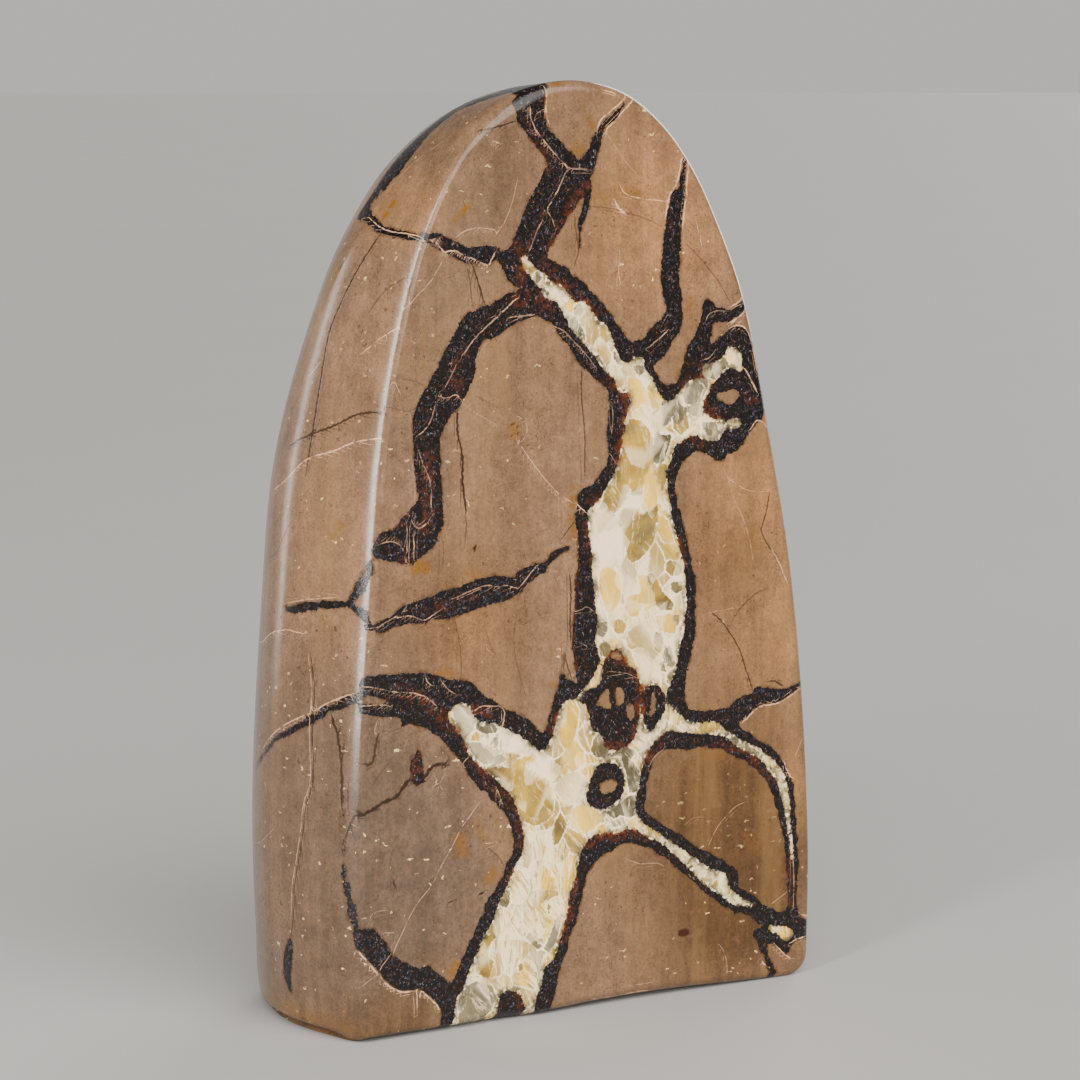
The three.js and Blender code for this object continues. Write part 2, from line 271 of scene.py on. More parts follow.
# Pieces of rock that lie inside the veins.
ROCK_ISLANDS = outlines("""
lobe in the right ring: 20.6 60, 21 64, 21.6 68, 22.6 72, 24 75, 26 77, 28 77.6, 32 77.4, 36 77, 40 76.9,
 44 76.5, 48 75.4, 52 73.4, 56 71.4, 60 69, 63 66, 65.5 63, 67.5 59.5, 69 55, 70.1 51, 71.3 47, 72.2 43,
 72.7 39, 72.8 36, 73.4 33, 73.5 29, 73.6 26, 73 23, 72 21.2, 70 21.3, 68 22.4, 65 24.4, 62 26.5, 58 29.4,
 55.2 31.8, 54.8 34, 55 36.4, 53 38, 50 40, 46 42.3, 42 44.7, 38 47.2, 34 49.8, 30 52.6, 26 55.2, 23 57;
piece above the cluster: 44.4 206.8, 47 207.3, 50 207, 50.2 205, 48.5 203.6, 46.5 202.2, 43.5 200.7,
 43.8 203.5;
eye of the low ring: 4.6 69.9, 7 70.3, 10.4 70, 10.9 68.4, 9 66.3, 6.2 66, 4.7 67.6;
eye of the cluster ring: 45.6 184.8, 48 186, 51 186.5, 54 185.5, 53 184, 51 182.2, 48 182.6;
left splinter: 3.2 94, 5 96.2, 7.4 98, 8 95.4, 8.8 91.6, 7 92, 5 93;
middle splinter: 10.6 98, 12.6 97.2, 13.2 94, 11.2 92.4, 10.2 95;
small splinter: 14 92.6, 15.2 93, 17 88.4, 15.5 87.6, 14.2 90;
right splinter: 21.6 88, 23.4 88.4, 24.6 92, 24.4 95.4, 23.2 96, 22.6 92;
sliver in the left wedge: -80 104.3, -75 104.2, -71 103.2, -69 102, -66 101, -70 100.9, -75 101.2, -80 101.5;
top splinter: 8.6 108.6, 10 109.3, 12 108.6, 12.8 107, 11 106.4, 9 107
""")
# The crystal filling inside the veins.
FILLS = outlines("""
channel: -21.5 229.5, -20.3 228.2, -19 227, -17 225, -15 224, -13 221.6, -10 220.4, -8 219.4, -6 217,
 -4 214.8, -1 215, 0 214, 2 211.6, 4 209.2, 7 207.4, 8 204.6, 9.5 201.4, 11 198.4, 12 196.8, 14 196.4,
 17 198, 19 197.6, 19.6 196.4, 20.2 194.2, 21.2 192.6, 23 190.8, 24.2 188.4, 25.2 186.8, 26.6 185, 28.5 184,
 30 180, 14 182, 14.8 184, 14.5 186, 13 187.4, 11 188, 10 190.6, 8 193, 5.5 195, 4 197, 2 199.6, 0 201.6,
 -2 203.6, -4 205.4, -6 207.6, -7 210, -8.5 212, -10 215, -13 216, -15 217.6, -16 219.6, -18 221, -20 224,
 -22 225.4;
body: 14.8 184, 20 186, 28.5 184, 31 185.3, 33 187.6, 35.5 189.6, 38.5 190.3, 41 190.5, 43.5 188.6, 43 186,
 41.5 184.5, 40.5 182, 41 180, 43 178.6, 46 177.8, 49 177, 49.5 175.2, 48 173.5, 46.8 171.6, 44 171.2,
 41 171.6, 38.5 173.3, 36 172.9, 33 171.6, 31 170.6, 30 168, 28.8 165, 27.6 163, 28 160, 28.2 157, 29 154,
 29.6 151, 30.2 148, 31 145, 32 142, 33 138, 34 134, 34.6 130, 35 126, 35.3 122, 34.8 118, 34.4 114,
 33.4 110, 32.4 106, 31.4 102, 30 98, 28.5 95.5, 28 93, 30 90.8, 33 88, 36 85.6, 40 84.6, 44 84.5, 47 84.1,
 48.6 82.6, 50.2 81, 53 79.4, 56 77.4, 59 76, 62 74.4, 65 72, 67.5 70.5, 70 67.6, 72 64.6, 73 61, 73.8 57,
 74.2 52, 74.6 47, 75.3 42, 75.6 38, 74.8 37.5, 74.2 41, 73.6 46, 72.8 50, 72 53.5, 71 57, 70 60, 68.8 63,
 66.8 66, 64 69.6, 61 72, 58 73.4, 55 75.3, 52 77.6, 49 79.6, 46 80.4, 43 81, 39 81.2, 36 82, 33 82.4,
 30 83, 27.5 82.6, 25 81.2, 23 79.2, 21 76, 19.6 72.6, 18.8 68.6, 18 65, 17.4 62, 17.4 59.6, 18.6 57.4,
 20.5 55.2, 23.5 53.2, 28 50.2, 32 47.2, 35 45.4, 38 43, 42 40.2, 45 38.2, 48 37, 50 36, 51 34, 51.2 32,
 52.4 30.8, 54 29.2, 57 27.2, 60 25.2, 59.6 24.2, 57 25, 54 25.6, 51 27.4, 49 29, 46 31, 43 33.2, 40 36,
 37 39.2, 34 42, 31 44.6, 28 47.4, 26 49, 22 50.8, 20 52, 18 53.4, 15 54.2, 11 53.7, 8 53.7, 5 54, 2 53.6,
 0 52, -1 50.5, -2 49, -2.6 46, -3.5 43, -4 40, -5 38.4, -6 36, -6.2 33, -7 30, -8 27, -9 23, -10 20,
 -11.5 17.2, -13 16, -14.5 15, -15.5 11, -17 7, -18 3, -18.5 -6, -46 -6, -46 1, -45.5 5, -44.8 9, -44 10.4,
 -42 13, -41 16, -40 18, -39 20.2, -37 23.6, -36 26, -34 29, -32 32.2, -31 35, -29.6 38, -28 40.4,
 -26.5 43.2, -25 46.4, -23.6 49, -22 51.4, -21.6 55, -22 58, -23 62, -24 65, -25 67.6, -27 70.2, -29 72.4,
 -31.5 75, -35 77.6, -38 80.6, -40.3 83, -41.3 86, -43 89, -45 91.6, -47.2 94.4, -46.4 97, -43 98.6,
 -40 97.2, -38.5 94.2, -36 92.2, -33 91.6, -30 90.6, -28 89.6, -25 88.1, -22 86, -18.5 83.4, -16 81.6,
 -14 82.2, -12.6 84.4, -11.4 86.4, -11 88.4, -10 91.4, -9 94, -7 96, -4 95.8, -2.4 97.4, -1 99.3, 0.5 100.4,
 2 102, 3.5 104.6, 5 107, 4.4 109, 3.6 111, 3 114, 3.5 117, 4 120, 3 123, 2.7 126, 2.5 130, 2 134, 1.8 138,
 1.5 142, 0.6 146, 0.5 150, 0.6 152.8, 2 154, 4 155.4, 5.5 157, 7 159.6, 8.5 162, 10 164, 10.6 166.6,
 11.5 169, 12.2 172, 12.6 175, 13.4 177, 13 179, 14 181;
cluster: 41 190.5, 41 194.5, 43.4 196.6, 46.4 198, 49.4 199.4, 52.4 199, 55 196, 56.2 193, 55 191.3,
 52 192.4, 49.4 192.8, 46.6 191, 44.6 188.8, 43.5 188.6;
pocket under the cluster: 49 176, 51 177.6, 54 177, 54.6 175.4, 52.6 174.6, 50 174.8;
foot of the right ring: 66.4 17.4, 69 17, 72 16.4, 75 15.2, 75.6 13, 73.6 11.6, 71.6 12.4, 69.4 14.6,
 67 15.6
""")
# Dark pieces that lie inside the filling.
DARK_ISLANDS = outlines("""
left edge of the cluster: 38.6 196.4, 41 199.6, 47.2 201.6, 49.2 198.6, 46.8 196, 42.4 194.8;
right edge of the cluster: 55.6 199.6, 59 198, 58.6 189.4, 55.8 189.6, 54.6 193.6;
great island: 6 107, 8 109.4, 10 110.2, 12 109.4, 13.4 107, 15 104.5, 17 103.2, 18.5 100, 19.2 97, 19.2 93,
 18.6 89, 18 86, 17 82.5, 15 80.2, 12 79.2, 9 79.3, 6.5 80.5, 5.5 83, 4.5 85, 2 86, 1 89, 0.5 92, -0.5 94,
 -2.4 95.4, -1.8 97, 1 98.8, 3 99, 5 101, 5.6 104;
small island: 20 97, 23 98, 26 97, 28 93, 27.6 89, 25 86, 23 83.6, 21 85, 20 89, 19.6 93;
low ring: 1 70, 2.5 73, 4.5 75.6, 8 75.6, 11 74.5, 13 71.5, 13.5 68, 12.5 64.6, 9.5 62.4, 6 61.4, 3 62,
 0.8 63.5, 0 66, 0.4 68;
cluster ring: 41 182, 43 184.5, 44 186.6, 45 189, 47 191, 50 193, 53 192.5, 56 191, 58 188, 59.5 185.5,
 60 183, 58 181, 55 180.5, 52 178.6, 49 178, 45 178, 42 179.6, 40.5 181;
foot of the body: -30 8.6, -28.4 9.8, -26 9.2, -23.6 8.6, -22 6, -22 -6, -30 -6
""")
# Crystals, from the column over the crossing and the left arm to the foot and the upper channel.
CRYSTALS = crystal_outlines("""
tan: 13 179, 16 179.4, 18.6 178.6, 21 176.5, 22.8 173, 23 169, 22.6 165.8, 21.4 163.6, 19.8 160.4, 18.6 158,
 15.4 158, 13.6 160, 12 163.6, 11 166, 12 170, 12.4 174;
olive: 23.4 171, 23.8 173.4, 25 174.6, 26.4 173.6, 28 174, 29.6 174, 29 171.4, 28 169, 27 166, 25 165.4,
 23.4 166, 23 168.6;
khaki: 9 163, 11.4 164.6, 12.6 161.4, 14.2 157.6, 13 154.6, 10 151.4, 7.6 152, 5 153.4, 6 157, 8 160.4;
khaki: 23.4 163, 25.6 164.8, 29.6 164.8, 28 161, 26.8 156.8, 25.4 158, 24.6 160;
cream: 22.4 164.6, 23.4 162, 24.6 159.6, 26 156.8, 24 153, 20.6 150.4, 19.6 153, 18.8 156.8, 19.4 159.4,
 20.8 162.4;
white: 14.4 155.8, 17 156.2, 18.8 155.4, 20.2 150.8, 17 152.4, 14 153, 12.4 153.6;
olive: 15 158, 18.6 157.8, 18.8 156.3, 16.4 156.6;
rosy: 0.4 153, 3 153.6, 7 152, 10 150.8, 7 148, 4 145.4, 2 143.6, 0.8 147;
white: 10.4 151, 12 147, 13 142, 12.6 138, 9 136.2, 5 136, 2 138, 2 143, 4 145.2, 7 147.8;
khaki: 11.4 150.6, 13 152.6, 16 152.2, 19 150.4, 22 151.6, 24.6 152.6, 25 149, 23.4 145.4, 23.6 142, 21 139,
 18.6 137, 16 136, 14.4 137.4, 13.6 141, 12.8 146;
yellow: 26 150, 28 148, 30 144, 30.4 141, 27 141.6, 25 144.6, 25.2 148;
grey: 26 184, 29 184, 30.6 181, 29 178, 26.6 176, 26 180;
cream: 14 192, 18 191, 21 187, 24 184.6, 25 182, 22 182.8, 19 184, 16 181.4, 15 184, 14.6 188;
rosy: 22 181, 25.4 182, 27 176, 25.4 175.4, 23.8 174.4, 22.4 177;
olive: 31.6 182, 35.6 182, 35 180, 32 180.4;
tan: 31 179, 35 179.6, 36 176, 33 173.6, 30 176;
grey: 33.6 186, 36 189.6, 39.4 192, 42 192.4, 42.4 188, 40.4 184, 37 182.6, 34.4 183;
olive: 38.6 192.6, 41 194.6, 44.6 195.6, 46.6 192.6, 44 190.4, 41.4 191;
grey: 28.8 184.6, 31.6 186, 33.4 183.4, 32.6 180.4, 29.6 179.4;
olive: 30 179, 33.6 180.6, 35.6 178, 33 175, 30.6 175.8;
pale: 36 182, 40 183, 41 179, 37.6 177.6, 35.8 179.6;
grey: 40.4 177, 45 177, 47 173.4, 45 171.6, 42 172.4;
grey: 43 195.4, 46.2 197, 49.2 195.8, 50 193.6, 47.6 192, 45 189.6, 43.4 190.8, 42.2 193;
cream: 4.6 134.6, 8 135, 11 133, 12 129, 11.6 125, 9 121, 6.6 122, 5.4 126, 4.4 130;
yellow: 14 125.8, 18.6 126.2, 19 122, 18 119.4, 15.4 119.6, 13.6 122;
cream: 18 132, 20.6 131.8, 21.6 129, 23.4 125, 24 122.6, 20.4 120.6, 19.6 124, 19 127.6;
khaki: 21 131.8, 23 132.2, 25 129.4, 26.6 126.4, 28.6 124.4, 30.8 122.4, 30 120.4, 26 120.8, 24.6 122.2,
 24 125.4, 22 128.6;
khaki: 27.6 134, 29 135.8, 31 135, 33.6 133, 33.4 131, 30 131, 28 132.4;
olive: 29.4 128.8, 33.8 129, 33.6 126.4, 32 125.4, 30.2 126.2;
yellow: 24 119, 27 119, 29.6 119, 31.8 116, 31 113, 28 113.6, 26 115.4;
khaki: 30.6 118.6, 32.4 119, 32.6 116, 31.2 115;
khaki: 23.4 112, 24.6 114.4, 26.6 112.8, 27 110.6, 25.6 107.6, 24.2 109;
grey: 28 110, 30 108.4, 31.4 104, 31 102.4, 28.6 103.6, 27 107;
olive: 28.6 101, 31.6 102.4, 32 98, 30 96.4, 28.4 98.4;
dark: 25.8 104.6, 27 104.8, 28.2 101.6, 26.6 101.8;
tan: 9 119, 12 119, 14 117, 13 114.6, 10 115;
grey: 4 120, 6 119.6, 7.6 117, 6 114, 3.8 115;
olive: 4 112, 6.4 113, 8.4 111, 7.6 108, 5 108.4;
rosy: 16 109, 19 109.4, 21.6 108, 22 104, 21.4 100, 19.8 98.6, 19.4 102, 17.4 106;
pale: -46 97, -42 98.4, -40 97, -38 93.6, -39 90, -41.6 88, -44 92;
olive: -37.6 93, -35 92.8, -32 91.2, -30.6 90, -31.4 88.4, -35 88.8, -38 90.4;
dark: -33.6 86.4, -30.6 87.4, -29.8 83.4;
white: -30 89, -28 90, -25 87.6, -21 84.6, -16.6 81.4, -20 80.8, -26 82.4, -29.4 83.4, -29.6 86;
pale: -41 86.6, -36 86, -32 83.6, -30 82, -27 80.4, -30 79, -36 80, -39 83;
yellow: -26 79, -22 80.2, -17 80.6, -19 78, -24 77.2;
khaki: -36 78, -30 78.4, -26.6 77.4, -25.8 75, -27 72, -29.6 71, -32 73, -34.6 75.6;
tan: -25 76.8, -21 76.8, -17 73.6, -13.4 70.6, -11.4 66, -11.8 62, -14 60, -18 59, -22 61, -24 65, -26 68,
 -27.2 71;
white: -20 77.4, -16 80.4, -12.4 79, -12 72, -11.2 67.4, -13.4 71.4, -17 74.4;
yellow: -9 92, -7.6 95, -4.6 96.4, -2.6 92, -3.4 87, -5 82, -7 81, -8.6 83, -9.6 87;
tan: -11.4 78, -8.6 79, -8.4 76, -10 73.4, -11.4 75;
khaki: -12 55, -11 59, -9 62, -6.8 58, -8.6 54.6, -10.8 51.6;
cream: -6 62, -2 63.6, 4 61, 6 58.6, 3 56, -1 54.6, -5 57;
cream: -8 80, -4 84, -1 80, -1 76, -5 74, -8 77;
rosy: -11 70, -8 73, -3 74, -0.6 71, -1.4 67, -3 64.6, -8 65.4;
olive: 1.6 80, 3 84, 5 85, 6.4 82, 10 80, 14 80, 17 78, 16 76, 11 77.4, 7 77, 3 78;
olive: 12 76, 14 77, 17.4 73.6, 19.4 70, 18.6 66.4, 16 65, 14.6 68, 14 72;
olive: 6 60.6, 8 61.6, 12 62.4, 15 64.6, 18 64, 18.6 60, 16 57.6, 12 59, 10 58;
grey: 52 79, 58 76.4, 64 71.6, 62 71, 56 74.4, 52 77.4;
olive: -29 40, -27 41, -26.4 36.6, -28 35, -30 36.4;
khaki: -33 31, -30 32, -29.6 28, -31 26, -33.6 27;
tan: -38 24, -34 30, -32 28, -34 22, -36 20;
khaki: -39 21, -35 22, -32 19, -34 14, -38 16.6;
grey: -20 27, -18 24, -14.6 21, -17 21, -21 25;
khaki: -23.6 18, -21.4 16, -23.4 15;
dark: -6.2 37.4, -3.6 36, -4 32.6, -6.4 33;
khaki: -14 35.4, -12 33.4, -13 31;
grey: -44 12, -38 14, -33 12, -31 8, -34 3, -44 2;
olive: -41 3.4, -36 3, -33 1, -35 -3, -41 -3;
grey: -10 31, -9 28, -10.4 23, -13 19.6, -14.6 20.6, -12.4 25, -10.8 29;
olive: -18.5 223.6, -16.6 224.4, -15.6 222.6, -16.2 221, -18 221.6;
olive: -14.6 220, -13 218.2, -13.4 216.6, -15 218.2;
olive: -6 210, -4.6 210.6, -3 209, -1.2 206.5, -0.8 204.6, -2.4 204.8, -5 206.6, -6.2 208.6;
grey: -4.6 214, -2 214.4, -1.2 211.6, -3 210.8, -4.4 212;
grey: -1 203.4, 3 200, 4.8 197.6, 6.2 195.4, 4.4 196.4, 2 199.8;
olive: 9.3 200.5, 10.5 198.6, 12 196.2, 11.6 195.4, 9.8 197, 9 199;
grey: 16 195, 19 195.6, 20 193.4, 18 192.2
""")
# Shares of cream, khaki and olive in a crystal's colour; what is left is white.
CRYSTAL_KINDS = {
    "white": (0, 0, 0), "cream": (0.9, 0, 0), "yellow": (1, 0.25, 0), "tan": (1, 0.75, 0),
    "khaki": (0, 1, 0), "olive": (0, 0.6, 0.95), "grey": (0, 0, 0.92), "pale": (0, 0, 0.62),
    "rosy": (0.3, 0.1, 0.1), "dark": (0, 0, 1),
}
# Thin pale lines in the rock.
PALE_LINES = marks("""
0.45 1: 3 264.8, 4.4 268, 8 270.8, 11 273, 14 275.6, 17 277.6;
0.45 1: 17 275, 15.3 273.4, 12.6 271.2, 9.9 268.3, 6.6 265.6, 5.8 264;
0.4 0.9: -13.9 278, -14 274, -14 270, -13.3 267.4;
0.55 1: 35 258, 32.8 256.4, 32 253, 31 249.4, 29.6 247.4, 28.4 245.6, 27.7 242.6, 27 239;
0.5 1: 35.4 257, 34.8 252, 34.4 248, 34.6 245, 34 243.4, 33.5 239, 33.2 236;
0.25 0.9: 34.6 245, 35.6 244.4;
0.5 1: 51 211.9, 53.2 213, 56 215.4;
0.5 1: 50 206.8, 53 208.2, 55.2 209.8, 56 211;
0.45 1: 50.4 205.4, 53 206, 55.8 205, 57.6 202.4, 58.8 199, 59.8 195, 60.6 191;
0.55 0.9: 55.6 192.8, 57.5 190, 59.4 187, 60.2 185.4;
0.45 1: 58 174, 60.5 176.6, 63 175.6, 64.6 174;
0.45 1: 77.5 91.8, 75 90.6, 72 89, 69 88, 66 87.7, 63 87.6, 60 86.2, 57.6 84.2, 56 83.4;
0.45 1: 71.6 69.4, 73 66, 74.8 63.6;
0.6 0.9: 78 20, 80 19, 84 17.6;
0.5 0.9: 74.8 10.8, 77 11.7, 81 12;
0.4 1: 68.2 11.6, 70 9.9, 73.6 6.6, 75 6;
0.5 1: 64 6.6, 65 5, 66.4 4.2;
0.5 1: -77.6 28.6, -74 24.4, -71.2 20.8, -68 17.2, -65 15, -62 14, -57 13.8, -55.6 12.6, -53.6 10.8,
 -51.4 8.4, -50.4 6.8;
0.5 1: -58 14, -58 7;
0.2 0.8: -37 68, -40 64.5, -43 61, -46 56, -50 50, -53 45, -57 41, -60 37, -63 31.5, -65 28, -66 25.5;
0.18 0.45: -70 20.6, -74 19, -77 17;
0.2 0.5: -74 36, -72.5 39, -68 39.5;
0.2 0.7: -47.5 230, -50 226, -53 222, -57 218.5, -60 215.5, -64 213;
0.25 0.8: -68 232, -65 229, -61 225.5;
0.25 0.9: -64 194, -62.5 190.8;
0.15 0.5: -42 187, -38 184, -34 182, -30 179.5;
0.22 0.9: -24 175.4, -20 170, -16 165, -12 160.6, -8 157.2, -5 155.6;
0.35 1: -3.6 155.2, -2 153.6, -0.4 152.4;
0.3 0.7: -44.5 234.6, -42 236.4, -38 237.5, -34 237.4, -30 236.4;
0.2 0.6: -23.5 252, -25 246, -26.5 242, -28 239, -30 236.5, -31.5 234.5;
0.2 0.45: 6 265, 9 261, 13 256, 16 253, 19 250;
0.75 1: 9.5 244.3, 11 242, 13.3 240.4;
0.3 0.9: 11 249, 13 246.5, 18 245, 23 244.4, 27.6 243.8;
0.25 0.6: 51 159, 53 157.5, 57 155.4, 62 154.6, 66 154.6;
0.3 0.4: 48 163, 50 159.6, 51 156, 52.2 153.4;
0.5 0.3: 52 153, 55 148, 57 143, 58.5 138, 59.5 133;
0.4 0.7: 66 137, 68.5 133, 70.5 129, 72.5 125;
0.2 0.5: 41 117.5, 45 118.6, 50 119, 55 119.4;
0.18 0.7: 44 46, 47 51, 50 54, 54 57, 57.6 58;
0.18 0.4: 35 53, 38 55, 42 55;
0.2 0.7: 66 23.5, 70 25.6, 73.4 27.4;
0.25 0.6: 75 69, 77 73, 79 77;
0.3 0.4: 48 14, 50 11, 51 7, 51 4;
0.3 0.4: 14 45, 19 43, 25 42.4, 28 41;
0.35 0.9: -68.5 32.7, -66 32.4;
0.4 0.9: -35 55.5, -32.4 55.6;
0.3 0.9: -53 74, -49 77;
0.3 0.9: -51.4 77, -49.4 73.6;
0.35 0.9: -71.6 93, -70.6 95.6;
0.3 0.9: -34 114, -32.6 112.4;
0.5 0.9: -31.4 262.3, -29.6 261.8;
0.4 0.9: 6 276.6, 8.6 276.2, 10 275.4;
0.5 0.9: 38.2 237, 38.8 234.6;
0.5 0.9: 39.4 232.6, 40 230.6;
0.45 0.9: 11.2 229, 10.8 226;
0.45 0.9: 10.6 224, 11.4 220;
0.35 0.9: 7 3, 12 3.4, 18 3, 24 3.2;
0.2 0.6: -24 182.4, -21.6 181, -20.4 178.4, -21.6 175.6, -24 173.4
""")
# Thin pale lines that run inside the veins.
INNER_LINES = marks("""
0.4 0.9: -19.3 273, -19.3 269, -18 266.6;
0.45 0.9: -18 266, -15 262.6, -12 259.4, -9.4 256.8;
0.4 0.9: -17.4 270, -14.9 271.6;
0.5 0.9: -9.4 256.8, -6 254.2, -2 254, 1 253.6;
0.4 0.75: -7 254, -8 252, -10 248, -12 245, -14 242.2;
0.4 0.6: -15.4 239, -17 236.5, -18.5 233, -20 230;
0.35 0.7: -14 242.2, -12 239.6, -11 236.4;
0.45 1: -60 236.3, -57 235.3, -54 234.3, -50.4 233.4, -47.8 231, -46 231.2, -43.6 231, -41 229.4, -38 228.6,
 -35.6 227.4, -33.3 226.6, -32 229, -30.4 231.4;
0.3 0.8: -54 234.5, -51 234.8, -49 235.4;
0.4 0.9: -23 217.4, -25 216, -28 213.6, -31 211.2, -34 209, -36.6 206.8, -38.8 204.8, -40.6 202.6,
 -42.4 200.6;
0.35 0.8: -43.6 199, -45.4 196, -46.8 193.5, -48.3 191.4, -49.8 190.2;
0.35 0.8: -50 189.3, -47 188.8, -44.2 189.6, -42.4 187.6;
0.35 0.7: -51 187, -52 184, -53 181.6, -55 179.6, -57.2 178;
0.35 0.7: -56.4 174, -55.2 170, -53.6 167, -52.6 163, -52.6 157;
0.4 0.8: -52.4 154.6, -54 152.6, -56.6 151.4, -58.6 153, -59.6 155.6;
0.35 0.7: -60.6 141.8, -60.5 147, -60.4 154;
0.35 0.7: -58.4 142, -58.2 146, -58.4 150;
0.35 0.7: -61 141.6, -61.6 145, -63 147, -66 148.2, -70 147.4;
0.45 1: -27 211, -25 211.5, -21 211.6, -18 212;
0.3 0.5: -58.6 171, -58.2 166, -57.8 161, -58.4 158.4;
0.35 0.85: -73 123.4, -70 123.5, -68 124.5, -65 125.8, -62.4 127, -60.6 129;
0.3 0.8: -65 125.5, -60 126, -57 125, -55 124;
0.35 0.85: -55 124, -52 125.6, -49 127.2;
0.35 0.8: -46 129.6, -43 130.6, -40 131.6, -37 132.4, -34 133, -30.4 132.2, -27 132.4, -24.4 131.2;
0.35 0.9: -24 130.8, -22 132.5, -19.4 135.4, -17 137.6;
0.4 0.95: -77 107, -75 106.5, -70 105.5, -65 104, -60 103.4, -56 102.2, -53 100.4, -51 98.4;
0.3 0.8: -54.8 108.4, -54 106, -52.4 104.6;
0.35 0.85: -49.6 106, -47 103, -44.6 101.4;
0.3 0.8: -77 100.6, -70 100.7, -66 100;
0.4 0.95: -39 95.6, -36 97, -31.6 96.6, -30 96.6, -28.2 94.6, -28.8 91, -29.4 89.6;
0.35 0.8: -41.4 78.8, -42.4 80.4, -40 82.6;
0.35 0.8: -31 72, -29.8 69, -29 66.6;
0.3 0.8: 8 103.4, 11 103, 15 102, 18 100.4;
0.3 0.7: -4.2 122.6, -2 123, 0 123.8, 2 122.6;
0.3 0.7: -4 113.6, -2 113, 0.6 111.6;
0.35 0.8: -12 208.4, -8 206.6, -5 203.8, -2 201, 1 197.8, 3 195.2;
0.3 0.8: 8 169.4, 10.4 166;
0.3 0.6: 8.6 184, 9 180, 8.4 175;
0.35 0.9: 21.6 200.6, 24 202.4, 26.4 204, 28 205.4;
0.3 0.8: 25.4 206, 27.4 209.4;
0.3 0.8: 41.6 207.6, 42.4 209.4, 45 210.6, 49 210.4;
0.35 0.6: 40.4 196, 43 196.6, 45 198.6;
0.3 0.7: -66.6 26, -69.4 23, -70.6 21;
0.3 0.9: 22 72.6, 24 75.6, 27 77.6;
0.35 0.8: 75.4 38, 75.8 32, 75.8 26, 75.8 22
""")
# Hairline cracks.
DARK_LINES = marks("""
0.32 1: -43.6 184.6, -43.8 180, -43.4 177, -42.4 173, -42 170, -42.2 166, -41.6 160, -41.1 155;
0.2 0.6: -41.1 155, -41 150, -41.6 145;
0.2 0.8: -1.8 195.4, -2 190, -1.8 186, -1.4 182, -0.8 176, -0.7 170, -0.8 163;
0.25 0.9: -38.6 227.4, -37 222.6, -35.6 218.4, -34.6 215;
0.2 0.6: -40.5 227, -39.5 222, -38.8 215;
0.25 0.9: -37 265.4, -33 265.9, -28 267, -24 268.2;
0.15 0.5: -45 124, -44 120, -43 115, -42.8 110, -42.8 106;
0.15 0.45: -34.4 120, -33 115, -31 111.6;
0.15 0.4: -24 124, -25 115, -23 105, -21 99;
0.15 0.5: -49 148, -48.4 145, -49 139;
0.22 0.8: 65.2 154, 64.4 149.6, 63.4 146, 62.4 142.6, 63.6 139.6, 65.6 137, 67.8 135;
0.22 0.85: 44.6 118.4, 47.5 116, 50 113, 53 109, 55.2 105, 57 100, 58.6 96, 59.6 93.4;
0.18 0.6: 64 124, 61 123.3, 58 121.4, 55 119, 51.6 115;
0.14 0.6: 34.6 231, 38 228, 42 224, 46 219.6, 49 215, 51 212.4;
0.15 0.5: 1 242.9, 5 242.6, 9 242, 15 240.4, 20 239, 26 236.4;
0.2 0.8: -9 144.6, -6 148, -3.8 150.4;
0.2 0.7: -10 142, -7.6 141.2, -5.4 142;
0.28 0.85: -5.8 134, -5.5 128, -5.7 120, -5.6 114;
0.2 0.8: -7.4 111, -6.8 107, -5.2 102.4;
0.15 0.5: -8.8 113, -8.6 108, -9 104;
0.35 0.8: -75.4 84, -73 83.2, -71.8 85, -71.2 88, -70.6 91, -69.4 93;
0.12 0.4: -69.4 93, -66 92.6, -62 93.4;
0.2 0.6: -34 54, -31 51.6, -28.6 48.4;
0.5 1: -78 68, -74 69.2, -71 70.6, -68.6 71.8, -65.6 72.4, -63.6 73.6, -62 75.6, -60.2 77.4, -58.6 78.4;
0.55 1: -55.4 77, -54 79, -52.6 80.6, -50.6 81.2, -48.4 80.8, -46.8 80.2;
0.12 0.45: -65 85, -69 81, -73 76.4;
0.16 0.5: -50 86, -47 83, -46.6 80;
0.2 0.75: 0.8 42.6, 2.4 44, 4.6 47.4, 5.2 48.8;
0.14 0.5: -56 187, -60 185.6, -66 187, -70 187;
0.14 0.5: -54 192.4, -59 194.6, -63 195;
0.12 0.5: -38 189, -34 187, -30 185;
0.3 0.8: 71 93.2, 67.4 95.2, 65 95;
0.2 0.5: -78 100, -72 97.8, -66 96.8;
0.25 0.6: -4.4 240.6, -4 236, -3 230, -4.6 225.8;
0.5 0.9: -65.4 47.6, -65 45.8;
0.6 1: -36.8 40.4, -35.4 40.8;
0.5 0.9: -47.2 39, -46 39.4
""")
